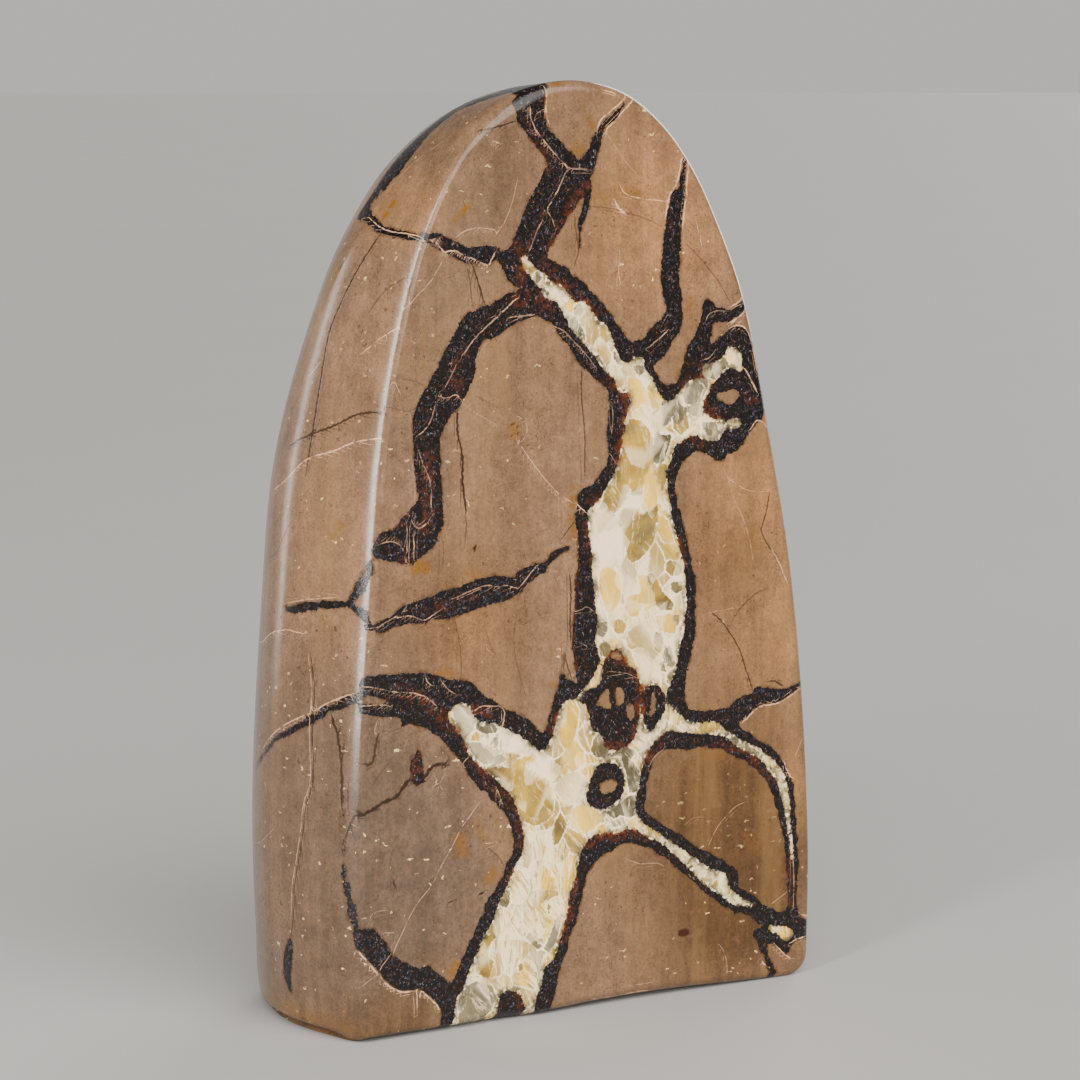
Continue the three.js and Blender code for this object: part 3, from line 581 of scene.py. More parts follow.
# Rust and a bluish cast in the rims, and ochre in the rock.
RUST = marks("""
2.6 1: -0.6 249, -5 243.4, -9 237.4, -12.4 231; 1.3 0.9: -15 241, -18 235.6, -20 231;
3 0.8: -24 232, -22 227, -23 222; 3 0.9: -24 216, -18 217, -13 213;
2.4 0.8: -15 227, -9 221.4, -4 217.6, 3 211;
2.6 1: 6.6 191, 12 189.4, 13.4 184.6, 12.4 179, 11.6 173, 10.6 168; 2 0.9: 1 155.6, 4 157;
1.8 0.9: -1 148.6, 0.4 143, 0.8 137; 1.1 1: -3.6 138, -3.8 130, -4.6 122, -4.4 112, -3.4 105;
3 1: 8 108, 12 107.4, 17 103, 19 98, 18.6 90; 2.2 1: 11 97, 12 93.6; 2.4 0.8: 6 83, 9 80.6, 15 81, 17.6 85;
2.4 0.8: -12 88, -10.6 91; 3 0.85: -63 104.4, -56 101.4, -51 96.6, -49 94, -44 91;
2 0.9: -40 96.4, -36.6 96.2, -33 94; 2.6 0.7: -41 86, -37 78, -32 72, -26 66, -23.4 60, -23 54;
2.2 0.8: -25.4 45.6, -27.4 43; 2.4 0.9: -4 41, -5 35, -6.4 28, -8 23;
2.2 1: 0.6 51, 4 53, 10 52.4, 18 52.6, 21 51; 2 0.8: 46 77.6, 52 75.4, 60 70.6, 67 63;
2.4 0.8: 21 76, 20 73, 26 80; 2.8 0.9: -53 172, -53.6 166, -54 152, -55.6 150;
2 0.8: -63 153, -59 160, -58 166; 1.6 1: -62.4 142, -60 142; 3 0.7: -42 201, -44 196, -43 191;
2.6 0.6: 37 194, 42 193, 34 189; 2.6 1: 41 183, 42 180, 46 178.8; 2.4 0.9: 57 184, 59 182.6;
2.4 0.7: 32 171.4, 36 172, 40 170; 2.4 0.7: -51 127.6, -44 129, -38 130; 1.6 0.7: -22 132, -19 134;
2.4 0.7: -17 258, -13 254, -20 268; 4 0.9: -57.6 83, -57.4 78; 2 0.8: -24 8, -23 3;
2 0.7: 32.6 142, 34 134; 2 0.8: 73.6 37, 74.4 30, 74 23; 1.4 0.7: 29.6 238, 29 236
""")
BLUE = marks("""
6 0.9: 50 171, 56 176, 58 179; 5 0.7: -39 29, -35 34, -43 20; 6 0.7: -68 29, -60 19, -50 12;
4 0.7: 31 242, 30 230, 29 216; 4 0.6: -36 230, -44 232; 4 0.6: -70 107.4, -60 106, -44 100;
3.4 0.6: 5 213, 10 205, -3 219; 3.6 0.6: 54 86, 62 91, 70 90; 4 0.5: -46 128, -32 131;
3.4 0.7: 44 185, 50 182; 3 0.6: -48 24, -13 8, -14 14; 3 0.6: 54 200, 46 210; 3 0.5: -9 100, -11 94
""")
OCHRE = marks("""
2.8 1: -57.6 140.4, -55.6 139.6; 1.8 0.8: -50 108.4, -46.6 108; 2 1: -34 44.4, -32.4 46;
1.6 1: -46.4 17.4, -45 20; 2.6 0.7: -43.6 58, -43 54; 1.2 0.8: -11.4 102, -11 101.6;
2.2 0.8: -4.4 159, -4.8 152, -4.4 146; 2.4 0.45: 58 47, 60 44; 2 0.5: 42 75, 48 74;
2.6 0.4: 36 214, 35.6 207; 1.3 0.8: 0.8 268.6, 1.8 265.6; 1.8 0.8: -4 260, -2.6 259.4;
1.3 1: -10 278.6, -8.6 278.6; 2.2 0.6: 10 247.4, 14 247, 17.4 246.4; 2.2 0.6: 3 245.4, 7 244.6;
1.1 1: -44.6 240.4, -42 242.2, -40 244; 2.2 1: -24.8 179, -24.4 177.2; 0.8 1: -38.6 144.6, -38 144.2;
1.2 0.8: 6 48.4, 8 48.6; 1.4 0.5: 31 191.4, 32 194, 34 197.6; 1.8 0.7: -61 230.4, -58 231;
2.6 0.5: -28 132, -40 137; 1.6 0.8: -50.4 163, -50.2 150; 1.2 0.8: 28 164, 29 168.6;
3.4 0.35: 59 142, 60 138; 1.8 0.6: -60 95.4, -56 94; 1.8 0.45: -38 62, -36 60, -35 55
""")
# A brown spot is a dark middle, some with a soft ring.
BROWN_SPOTS = marks("""
0.75 1: -38.7 144.7, -37.9 144; 1.6 1: 34.2 19.3, 35.8 19.2;
0.36 0.66: -26.4 178.8, -26 180, -24.6 180.3, -23.6 179.4;
0.36 0.66: -26.2 176.4, -24.8 177.6, -23.4 177.2; 0.5 0.7: 39.8 162, 40.2 161.6;
0.5 0.7: 59.4 128.8, 60 128.4; 0.4 0.8: -53 245.6, -51 246; 0.5 0.6: 7.2 257.6, 7.8 256.2;
0.4 0.6: -15 129, -14.8 128.4
""")
# Broad tints of the rock, partly its own tones and partly painted light and shade, which darken
# the rock on the left and low down and pale it towards the upper right; and what each kind adds to
# the shares of brown, grey and pale rock.
TINTS_LIGHT_AND_SHADE = tints("""
brown 34 0.95: 46 62; brown 26 0.75: 60 36; brown 30 0.5: 48 138; grey 34 0.85: -66 66;
grey 30 0.8: -60 36; grey 24 0.55: -76 100; grey 30 0.55: -38 252; grey 26 0.45: -52 220;
brown 20 0.55: -30 250; pale 12 0.35: -57 245; brown 24 0.7: -42 122; brown 17 1: -66 7;
grey 16 0.5: -88 18; brown 26 0.5: 50 10; brown 20 0.3: 56 134; grey 22 0.35: -62 178; grey 18 0.3: -4 18;
brown 14 0.5: -70 6; grey 14 0.4: -52 170; pale 20 0.85: 62 158; pale 24 0.7: 70 112; pale 18 0.55: 20 252;
pale 20 0.5: 14 228; pale 12 0.7: 79 60; pale 20 0.4: 42 232; pale 12 0.4: -42 120; gold 24 0.7: -22 192;
gold 26 0.6: 12 214; gold 22 0.6: 44 206; gold 20 0.45: 46 16; gold 18 0.45: 46 158; gold 16 0.4: -24 160;
gold 12 0.4: 36 196; pale 10 0.35: -46 100
""")
TINT_LIGHT_AND_SHADE_KINDS = {"brown": (1, 0, 0), "grey": (0, 1, 0), "pale": (0, 0, 1), "gold": (0.28, -0.4, 0)}

# ---- The left side, in (depth behind the front, height) -------------------------------------------

LEFT_VEINS = bands("""
1 1.2 1.6: -2 235.6, 14 235, 27 239;
1 1.3 1 0.7: 28 125, 20 127, 10 129, 5.5 129.5;
0.8 1.2 0.8: 5.5 129.5, 3 135, 0.6 143;
0.9 1.2 1.3: 5.5 129.5, 2 127, -1 123.6;
1.6 1.3 1.1 1.2 1 1 0.8 0.6 0.4: -2 106, 5 101, 10 98.5, 15 95, 20 92, 25 89, 30 87, 36 82, 46 74;
0.4 0.3 0.35 0.8 0.9 1.2 2.6: 4.5 70, 4.3 60, 4 52, 3 46, 2 40, 0.6 34, -2 33;
0.4 1.7 2 0.3: 23.5 29, 25 24, 27 17, 25.6 11
""")
LEFT_PALE = marks("""
0.35 0.9: -1 236, 14 235.4, 24 238;
0.3 0.8: -1 212, 5 206, 10 201;
0.4 1: -1 178.6, 8 176, 14 173, 25 169, 35 162, 45 158;
0.35 0.9: 25.5 197, 31 191;
0.35 0.9: 20 119, 28 119, 36 117, 45 113, 52 112;
0.4 0.8: 3 104, 10 100.4, 15 97, 21 94, 30 89, 38 82.6;
0.25 0.7: 18 113, 16 103, 16 92, 15 76, 17 70, 18 62, 20 52, 22 44, 23 35;
0.3 0.7: 28 127, 20 129, 10 131;
0.3 0.5: 12 262, 18 255, 22 246;
0.25 0.5: 30 60, 40 54, 52 52;
0.25 0.5: 36 226, 44 214, 50 210
""")
LEFT_DARK = marks("""
0.3 0.9: 15 235, 22 215, 24.5 205, 24 195, 23.5 180, 24 165;
0.3 0.9: -1 186, 8 184, 15 180, 25 176, 35 172;
0.35 0.9: 9 97, 6.5 91, 5 82, 4.5 70;
0.25 0.8: -1 76, 2 67, 4 60;
0.22 0.8: 17 113, 15 103, 15 92, 14 76, 16 70, 17 62, 19 52, 21 44, 22 35, 23.5 29;
0.2 0.5: 2 224, 7 219, 11 212;
0.2 0.5: 30 150, 38 140, 50 138
""")
LEFT_OCHRE = marks("""
1.3 1: 16 243, 17 239; 2 0.8: 27 222, 27 218; 4 0.4: 6 3, 30 3, 60 2; 2 0.6: 10 152, 12 149
""")

# ---- The right side, in (depth behind the front, height) ------------------------------------------

RIGHT_VEINS = bands("""
0.8 1.4 1.8 1.6 1.2 1.4 1.2: -2 92.8, 6 93, 16 96, 28 95, 42 99, 56 98, 74 102;
1.9 2.4 2.2 1.4 1: -2 213, 8 211, 18 214, 30 212, 48 216;
7.5 7 5.4 4 2.6 1.8 1.4: -2 188, 6 188, 14 186, 22 182, 30 177, 40 168, 58 160;
3 2.6 2.2 2.6 3 3: -2 14.5, 8 15, 20 18, 34 17, 50 22, 74 26;
0.8 0.5 0.2: -2 257, 5 258.4, 13 262;
1.2 0.8 0.4: 30 95, 34 80, 44 66
""")
RIGHT_FILLS = bands("""
2.4 1.6 0.8: 12 187, 20 183, 26 180;
0.6 0.8 1.2: 34 17, 50 22, 74 26
""")
RIGHT_PALE = marks("""
0.4 0.9: -1 91.6, 8 91, 18 94;
0.4 0.8: -1 216, 8 213.6, 18 216.6;
0.3 0.7: 10 60, 20 66, 34 64, 46 72;
0.3 0.7: 4 130, 14 124, 26 126, 40 118;
0.25 0.5: 20 236, 30 230, 40 232;
0.4 0.9: -1 19, 10 19.6, 24 22
""")
RIGHT_DARK = marks("""
0.25 0.8: 0 126, 10 132, 20 146, 30 150;
0.25 0.7: 22 40, 30 52, 44 54, 56 62;
0.2 0.6: 6 226, 16 236, 26 250;
0.25 0.8: 40 118, 50 112, 60 116
""")

# ---- Over the tip, in (distance along the arch from the tip, depth behind the front) --------------

CROWN_VEINS = bands("""
2 3 4.2 5.2 5 5 4.8 3.8 3.4 3.6: -68.6 31, -64.2 29, -59.2 27, -50.2 27, -39.2 28.6, -31.7 29, -25.5 27,
 -19.7 18.4, -15.2 10, -15.2 1;
4.8 4.4 3.6 3 2.6 3: -13.4 -2, -13 8, -11 20, -12 32, -9 46, -6 74;
0.8 0.6 0.2: 22 -2, 24 5, 28 12
""")

# ---- The back, in (x, z) ---------------------------------------------------------------------------

BACK_VEINS = bands("""
4 4 5 6 8 10 12 13 11 12 11 9 8: -12 286, -9 268, -4 250, 5 226, 2 200, 11 176, 8 150, 14 122, 6 96, 10 70,
 -4 45, -12 20, -14 -6;
6 4.4 3.6 3 1.6: 10 150, 30 158, 50 151, 68 159, 86 161;
6 4.6 4 3 1.6: 10 74, 32 61, 54 66, 70 99, 86 101;
3 2.8 2.4: 54 66, 68 40, 86 26;
5 4 3 1.6 0.6: 2 200, -18 212, -38 206, -54 214, -66 220;
6 4.6 3.4 2.4 1: 6 96, -18 104, -42 95, -62 108, -86 112;
5 4 3.4 2 0.8: -4 45, -26 37, -48 44, -66 36, -84 34;
3.4 3 2 0.4: -4 250, 10 244, 20 239, 29 236;
2.4 2 1 0.3: -18 104, -26 126, -40 140, -46 156
""")
BACK_FILLS = bands("""
0.6 1.4 2 3 4.6 6.4 8.4 9.6 7.6 8.4 7.6 5.4 4.6: -11 274, -9 264, -4 250, 5 226, 2 200, 11 176, 8 150,
 14 122, 6 96, 10 70, -4 45, -12 20, -14 -6;
3 1.4 0.8 0.3: 10 150, 28 157, 44 153, 58 155;
3 1.8 1 0.4: 10 74, 32 61, 50 65, 60 80;
2 1.2 0.4: 2 200, -16 211, -32 207;
3 1.6 0.6: 6 96, -16 103, -36 97;
2 1.2 0.5: -4 45, -22 38, -40 42
""")
BACK_ISLANDS = bands("""
3.4 3.4: 12 132, 15 130; 2.8 2.6: 4 88, 6 85; 2.4 2.4: 9 166, 10 163
""")
BACK_CRYSTALS = crystal_bands("""
khaki 3 3.4: 8 116, 12 110; olive 2.4 2: 18 120, 20 114; cream 4 4: 6 146, 9 142;
khaki 2.6 2.4: 0 60, 4 66; cream 3.4 3: 10 76, 6 82; olive 2 1.8: -8 36, -6 40;
cream 3 2.6: -12 24, -10 16; khaki 2 2: 6 186, 5 192; grey 2 2: 14 100, 11 104; cream 2.4 2: 3 214, 4 206
""")
BACK_PALE = marks("""
0.3 0.8: -40 140, -52 132, -64 134, -80 126;
0.3 0.8: 20 190, 30 200, 44 204, 58 198;
0.3 0.7: -20 240, -34 232, -44 236;
0.3 0.8: 24 20, 36 32, 50 30, 60 38;
0.4 0.8: 4 250, 8 226, 6 212;
0.3 0.7: -60 72, -48 66, -36 68, -24 60
""")
BACK_DARK = marks("""
0.3 0.9: -46 156, -50 168, -48 184, -54 196;
0.25 0.8: 34 120, 44 128, 48 144;
0.3 0.8: -30 20, -36 10, -34 -4;
0.25 0.7: 30 184, 40 178, 56 180;
0.25 0.7: -30 170, -24 182, -26 200
""")


# ---- Sums on whole arrays ------------------------------------------------------------------------


def smoothstep(value, zone):
    """0 below the zone and 1 above it, and 3t^2 - 2t^3 between, where t is the share of the zone."""
    share = np.clip((value - zone[0]) / (zone[1] - zone[0]), 0, 1)
    return share * share * (3 - 2 * share)


def lerp(first, second, share):
    """The value at that share of the way from the first to the second."""
    return first + (second - first) * share


def smooth_line(points, steps, closed=False):
    """A centripetal Catmull-Rom curve: cubic spans whose speed is the root of the chord's length."""
    line = np.asarray(points, float)
    if closed:
        line = np.vstack([line[-1:], line, line[:2]])
    else:
        line = np.vstack([2 * line[0] - line[1], line, 2 * line[-1] - line[-2]])
    before, start, end, after = line[:-3], line[1:-2], line[2:-1], line[3:]

    def root(first, second):
        return np.sqrt(np.linalg.norm(second - first, axis=1, keepdims=True)) + 1e-9

    gap_in, gap, gap_out = root(before, start), root(start, end), root(end, after)
    speed_in = ((start - before) / gap_in - (end - before) / (gap_in + gap) + (end - start) / gap) * gap
    speed_out = ((end - start) / gap - (after - start) / (gap + gap_out) + (after - end) / gap_out) * gap
    t = (np.arange(steps) / steps)[None, :, None]
    curve = (
        (2 * t**3 - 3 * t**2 + 1) * start[:, None]
        + (t**3 - 2 * t**2 + t) * speed_in[:, None]
        + (3 * t**2 - 2 * t**3) * end[:, None]
        + (t**3 - t**2) * speed_out[:, None]
    ).reshape(-1, line.shape[1])
    return curve if closed else np.vstack([curve, line[-2:-1]])


# ---- The stone's skin ----------------------------------------------------------------------------


def outline():
    """The closed outline, clockwise from the left foot: places and outward directions as (x, z).

    It is the arch, an arc round the right foot, the straight base and an arc round the left foot.
    """
    arch = smooth_line(ARCH, 24)
    along = np.gradient(arch, axis=0)
    along /= np.linalg.norm(along, axis=1, keepdims=True)
    out = np.stack([-along[:, 1], along[:, 0]], axis=1)

    def foot(centre, radius, first, last):
        angle = np.linspace(first, last, 12)[1:]
        turned = np.stack([np.cos(angle), np.sin(angle)], axis=1)
        return np.stack([centre + radius * turned[:, 0], radius * (1 + turned[:, 1])], axis=1), turned

    right_x = ARCH[-1][0] - RIGHT_FOOT_RADIUS
    left_x = ARCH[0][0] + LEFT_FOOT_RADIUS
    right, right_out = foot(right_x, RIGHT_FOOT_RADIUS, 0, -math.pi / 2)
    left, left_out = foot(left_x, LEFT_FOOT_RADIUS, -math.pi / 2, -math.pi)
    base_x = np.linspace(right_x, left_x, 60)[1:]
    base = np.stack([base_x, np.zeros_like(base_x)], axis=1)
    base_out = np.tile([0.0, -1.0], (len(base), 1))
    places = np.vstack([arch, right, base, left[:-1]])
    outs = np.vstack([out, right_out, base_out, left_out[:-1]])
    return places, outs


def stations():
    """The outline at even steps, in four runs: up the left side, over the crown, down the right
    side and back along the base. Gives places, outward directions and how far along each one is."""
    places, outs = outline()
    places = np.vstack([places, places[:1]])
    outs = np.vstack([outs, outs[:1]])
    length = np.concatenate([[0], np.cumsum(np.linalg.norm(np.diff(places, axis=0), axis=1))])

    def length_at(part, miss):
        """How far along the outline the miss is least, within a part of it."""
        return length[part][np.argmin(np.abs(miss[part]))]

    upper = places[:, 1] > HEIGHT * 0.6
    right_end = (places[:, 1] < 4) & (places[:, 0] > 0)
    left_corner = length_at(upper, places[:, 0] - CROWN_CORNERS[0])
    right_corner = length_at(upper, places[:, 0] - CROWN_CORNERS[1])
    right_foot = length_at(right_end, places[:, 1] - FOOT_CORNERS["right_height"])
    left_foot = length[-1] - LEFT_FOOT_RADIUS * FOOT_CORNERS["left_share"]
    runs = (
        (left_foot - length[-1], left_corner, CELLS_UP), (left_corner, right_corner, CELLS_ACROSS),
        (right_corner, right_foot, CELLS_UP), (right_foot, left_foot, CELLS_ACROSS),
    )
    at = np.concatenate([np.linspace(first, last, count, endpoint=False) for first, last, count in runs])
    wrapped = np.mod(at, length[-1])
    place = np.stack([np.interp(wrapped, length, places[:, i]) for i in (0, 1)], axis=1)
    out = np.stack([np.interp(wrapped, length, outs[:, i]) for i in (0, 1)], axis=1)
    out /= np.linalg.norm(out, axis=1, keepdims=True)
    return place, out, at


def back_y(x, z):
    """The domed back: it falls with the square of x to the sides, and towards the tip."""
    to_tip = smoothstep(z, BACK_TIP_ZONE)
    return BACK_Y - BACK_SIDE_FALL * (x / ARCH[-1][0]) ** 2 - BACK_TIP_FALL * to_tip


def skin_rings(place, out):
    """The rings from the front round to the back: each station's outline place, moved by its profile.

    The profile is a quarter turn at the front edge, of which the left side has only the last part so
    that a ridge stays, a band that bulges by a sine of the depth, and a wider quarter turn at the back
    edge. Gives points as (ring, station, xyz), depths behind the front, and where the band ends.
    """
    x, z = place[:, 0], place[:, 1]
    on_base = z < ON_BASE
    tip = smoothstep(z, TIP_ZONE)
    left = smoothstep(-x, LEFT_EDGE["zone"])
    radius = lerp(lerp(FRONT_EDGE["plain"], FRONT_EDGE["tip"], tip), LEFT_EDGE["radius"], left)
    first_turn = LEFT_EDGE["first_turn"] * left
    edge = radius * np.cos(first_turn)

    def bulge_of(size):
        low = lerp(size["foot"], size["waist"], smoothstep(z, WAIST_ZONE))
        return lerp(low, size["shoulder"], smoothstep(z, SHOULDER_ZONE))

    kept = np.where(on_base, smoothstep(np.abs(x), BASE_BULGE_ZONE), 1 - smoothstep(z, BULGE_FADE))
    bulge = np.where(x < 0, bulge_of(LEFT_BULGE), bulge_of(RIGHT_BULGE)) * kept
    bulge_x = np.where(on_base, np.sign(x), out[:, 0])
    bulge_z = np.where(on_base, 0, np.maximum(0, out[:, 1]))

    middle_z = np.clip(z, MIDDLE_LINE["low"], MIDDLE_LINE["high"])
    inward = np.stack([(MIDDLE_LINE["lean"] - 1) * x, middle_z - z], axis=1)
    inward /= np.linalg.norm(inward, axis=1, keepdims=True)
    square = np.maximum(0.6, -(inward * out).sum(axis=1))

    across = np.clip((x - BASE_LIP["centre"]) / BASE_LIP["half_width"], -1, 1)
    lip = np.where(on_base, BASE_LIP["rise"] * np.cos(math.pi / 2 * across) ** 2, 0)
    from_foot = np.hypot(x - ARCH[0][0], z) / FOOT_WEAR["reach"]
    wear = FOOT_WEAR["depth"] * np.exp(-(from_foot**2))
    depth = back_y(x, z) - FRONT_Y
    back_depth = lerp(BACK_EDGE_DEPTH["side"], BACK_EDGE_DEPTH["shoulder"], smoothstep(z, SHOULDER_ZONE))
    back_depth = lerp(BACK_EDGE_DEPTH["foot"], back_depth, smoothstep(z, FOOT_ZONE))
    back_reach = lerp(BACK_EDGE_REACH["foot"], BACK_EDGE_REACH["side"], smoothstep(z, FOOT_ZONE))
    band_end = depth - back_depth

    def ring(behind, drawn_in):
        swell = bulge * np.sin(math.pi * np.minimum(1, behind / (BULGE_SPAN * depth)))
        lift = lip * (1 - np.minimum(1, behind / BASE_LIP["depth"])) ** 2
        worn = wear * smoothstep(behind, FOOT_WEAR["zone"])
        fall = TIP_SLOPE * tip * behind / THICKNESS
        ring_x = x + inward[:, 0] * drawn_in + bulge_x * swell + worn
        ring_z = z + inward[:, 1] * drawn_in + bulge_z * swell + lift - fall + np.where(on_base, 0, worn)
        return np.stack([ring_x, FRONT_Y + behind, np.maximum(0, ring_z)], axis=1)

    points, depths = [], []
    for share in np.linspace(0, 1, EDGE_RINGS + 1):
        turn = lerp(first_turn, math.pi / 2, share)
        behind = edge - radius * np.cos(turn)
        points.append(ring(behind, radius * (1 - np.sin(turn)) / square))
        depths.append(behind)
    for share in np.linspace(0, 1, BAND_RINGS + 1)[1:]:
        behind = lerp(edge, band_end, share)
        points.append(ring(behind, 0 * edge))
        depths.append(behind)
    for turn in np.linspace(0, math.pi / 2, BACK_EDGE_RINGS + 1)[1:]:
        behind = band_end + back_depth * math.sin(turn)
        moved = ring(behind, back_reach * (1 - math.cos(turn)))
        moved[:, 1] = back_y(moved[:, 0], moved[:, 2]) - back_depth * (1 - math.sin(turn))
        points.append(moved)
        depths.append(behind)
    return np.stack(points), np.stack(depths), band_end


def patch(rim, across, up):
    """A Coons patch inside a closed rim of points: the blend of the opposite sides, less the
    bilinear blend of the corners. Gives the inner points and their number at each cell corner."""
    left = rim[: up + 1]
    top = rim[up: up + across + 1]
    right = rim[up + across: 2 * up + across + 1][::-1]
    base = np.vstack([rim[2 * up + across:], rim[:1]])[::-1]
    u = np.linspace(0, 1, across + 1)[None, :, None]
    v = np.linspace(0, 1, up + 1)[:, None, None]
    grid = (1 - v) * base[None] + v * top[None] + (1 - u) * left[:, None] + u * right[:, None]
    grid = grid - (
        (1 - u) * (1 - v) * base[0] + u * (1 - v) * base[-1] + (1 - u) * v * top[0] + u * v * top[-1]
    )
    number = np.zeros((up + 1, across + 1), int)
    number[:, 0] = np.arange(up + 1)
    number[-1, :] = up + np.arange(across + 1)
    number[:, -1] = (up + across + np.arange(up + 1))[::-1]
    number[0, :] = np.append(2 * up + across + np.arange(across), 0)[::-1]
    count = len(rim)
    number[1:-1, 1:-1] = count + np.arange((up - 1) * (across - 1)).reshape(up - 1, across - 1)
    return grid[1:-1, 1:-1].reshape(-1, rim.shape[1]), number


def grid_faces(number):
    """Four-sided faces between neighbouring numbers of a grid, facing the viewer of (across, up)."""
    corners = [number[:-1, :-1], number[:-1, 1:], number[1:, 1:], number[1:, :-1]]
    return np.stack(corners, axis=-1).reshape(-1, 4)


def stone_skin():
    """The whole closed skin: points, faces, and each point's charts for the pattern.

    Rings run round the edge, and a patch closes the front and the back. The back's patch is half as
    fine, so three-sided faces join every two steps of the last ring to one step of its rim. The charts
    are the depth behind the front, the length along the outline, whether the point is on the side or
    on the base, and how far it is past the band's end.
    """
    place, out, at = stations()
    rings, depths, band_end = skin_rings(place, out)
    count = len(place)
    ring_count = len(rings)

    front_inner, front_number = patch(rings[0], CELLS_ACROSS, CELLS_UP)
    middle = np.array([0, (MIDDLE_LINE["low"] + MIDDLE_LINE["high"]) / 2])
    inset = lerp(middle, rings[-1][::2][:, [0, 2]], BACK_INSET)
    inset = np.stack([inset[:, 0], back_y(inset[:, 0], inset[:, 1]), inset[:, 1]], axis=1)
    back_inner, back_number = patch(inset, CELLS_ACROSS // 2, CELLS_UP // 2)
    back_inner[:, 1] = back_y(back_inner[:, 0], back_inner[:, 2])

    points = np.vstack([rings.reshape(-1, 3), front_inner, inset, back_inner])
    front_start = ring_count * count
    back_start = front_start + len(front_inner)

    ring_number = np.arange(ring_count * count).reshape(ring_count, count)
    ring_number = np.hstack([ring_number, ring_number[:, :1]])
    around = grid_faces(ring_number)
    front = np.where(front_number < count, front_number, front_number - count + front_start)
    back = back_number + back_start
    fine = ring_number[-1]
    coarse = back_start + np.append(np.arange(count // 2), 0)
    first, mid, last = fine[:-1:2], fine[1::2], fine[2::2]
    joints = np.concatenate([
        np.stack([first, mid, coarse[:-1]], axis=1), np.stack([mid, coarse[1:], coarse[:-1]], axis=1),
        np.stack([mid, last, coarse[1:]], axis=1),
    ])
    faces = [around, grid_faces(front), grid_faces(back)[:, ::-1]]

    def chart(on_rings, on_front, on_back):
        """One number a point: given on the rings, and the same all over the front and the back."""
        return np.concatenate([
            np.broadcast_to(on_rings, depths.shape).ravel(), np.full(len(front_inner), on_front),
            np.full(len(inset) + len(back_inner), on_back)])

    on_side = np.where(place[:, 1] > ON_BASE, 1.0, 0.0)
    charts = {
        "behind": chart(depths, 0.0, THICKNESS), "at": chart(at, 0.0, 0.0),
        "side": chart(on_side, 0.0, 0.0), "base": chart(1 - on_side, 0.0, 0.0),
        "past_band": chart(depths - band_end, -THICKNESS, THICKNESS),
    }
    return points, faces, joints, charts


def chipped(points, charts):
    """The chip at the left foot: the skin sinks by a smooth bowl with shell-shaped ribs."""
    on_left = (charts["side"] > 0.5) & (points[:, 0] < 0)
    away = np.hypot(charts["behind"] - CHIP["behind"], points[:, 2] - CHIP["height"])
    bowl = np.clip(1 - (away / CHIP["reach"]) ** 2, 0, 1) ** 1.5
    from_corner = np.hypot(charts["behind"], points[:, 2] - CHIP["rib_centre"])
    ribs = 0.75 + 0.25 * np.cos(2 * math.pi * from_corner / CHIP["rib"])
    sunk = points.copy()
    sunk[:, 0] += np.where(on_left, CHIP["depth"] * bowl * ribs, 0)
    return sunk


# ---- The pattern as distances --------------------------------------------------------------------


def near_box(places, line, margin):
    """The places that lie within a margin of a line's box."""
    low, high = line.min(axis=0) - margin, line.max(axis=0) + margin
    return np.nonzero(((places >= low) & (places <= high)).all(axis=1))[0]


def to_line(places, line):
    """Each place's distance to a line of points, the piece it is nearest to, the share of the way
    along that piece, and 1 or -1 for the line's side that it is on."""
    start, step = line[:-1], np.diff(line, axis=0)
    square = (step**2).sum(axis=1) + 1e-12
    distance = np.empty(len(places))
    piece = np.empty(len(places), int)
    share = np.empty(len(places))
    side = np.empty(len(places))
    for first in range(0, len(places), BATCH):
        part = slice(first, first + BATCH)
        off = places[part, None] - start[None]
        along = np.clip((off * step).sum(axis=2) / square, 0, 1)
        gap = off - along[..., None] * step
        gap = np.hypot(gap[..., 0], gap[..., 1])
        best = gap.argmin(axis=1)
        row = np.arange(len(best))
        cross = step[best, 0] * off[row, best, 1] - step[best, 1] * off[row, best, 0]
        distance[part], piece[part], share[part] = gap[row, best], best, along[row, best]
        side[part] = np.where(cross < 0, -1, 1)
    return distance, piece, share, side


def inside(places, line):
    """Whether each place is inside a closed line: a ray to the right crosses it an odd number of times."""
    odd = np.zeros(len(places), bool)
    for (x0, z0), (x1, z1) in zip(line[:-1], line[1:]):
        if z0 == z1:
            continue
        spans = (z0 > places[:, 1]) != (z1 > places[:, 1])
        odd ^= spans & (places[:, 0] < (x1 - x0) * (places[:, 1] - z0) / (z1 - z0) + x0)
    return odd


def outline_depth(places, points, margin=FAR, rounded=True):
    """How deep each place is inside a closed outline, in mm: minus the distance to it outside."""
    line = smooth_line(points, 3, closed=True) if rounded else np.asarray(points, float)
    line = np.vstack([line, line[:1]])
    depth = np.full(len(places), -margin)
    near = near_box(places, line, margin)
    distance = to_line(places[near], line)[0]
    depth[near] = np.clip(np.where(inside(places[near], line), distance, -distance), -margin, margin)
    return depth


def band_depth(places, half_widths, points, margin=FAR):
    """How deep each place is inside a band: its half-width at the nearest point less the distance."""
    if len(places) == 0:
        return np.empty(0)
    joined = np.column_stack([np.asarray(points, float), half_widths])
    joined = smooth_line(joined, 4) if len(joined) > 2 else joined
    line, widths = joined[:, :2], joined[:, 2]
    depth = np.full(len(places), -margin)
    near = near_box(places, line, margin + max(half_widths))
    distance, piece, share, _ = to_line(places[near], line)
    wide = lerp(widths[piece], widths[piece + 1], share)
    depth[near] = np.clip(wide - distance, -margin, margin)
    return depth


def soft_patches(places, patches):
    """The greatest of soft bands: each is its strength on its line and falls off by its radius."""
    level = np.zeros(len(places))
    for radius, strength, points in patches:
        depth = band_depth(places, [radius] * len(points), points, margin=radius * 1.2)
        level = np.maximum(level, strength * smoothstep(depth, (-radius * 0.35, radius * 0.75)))
    return level


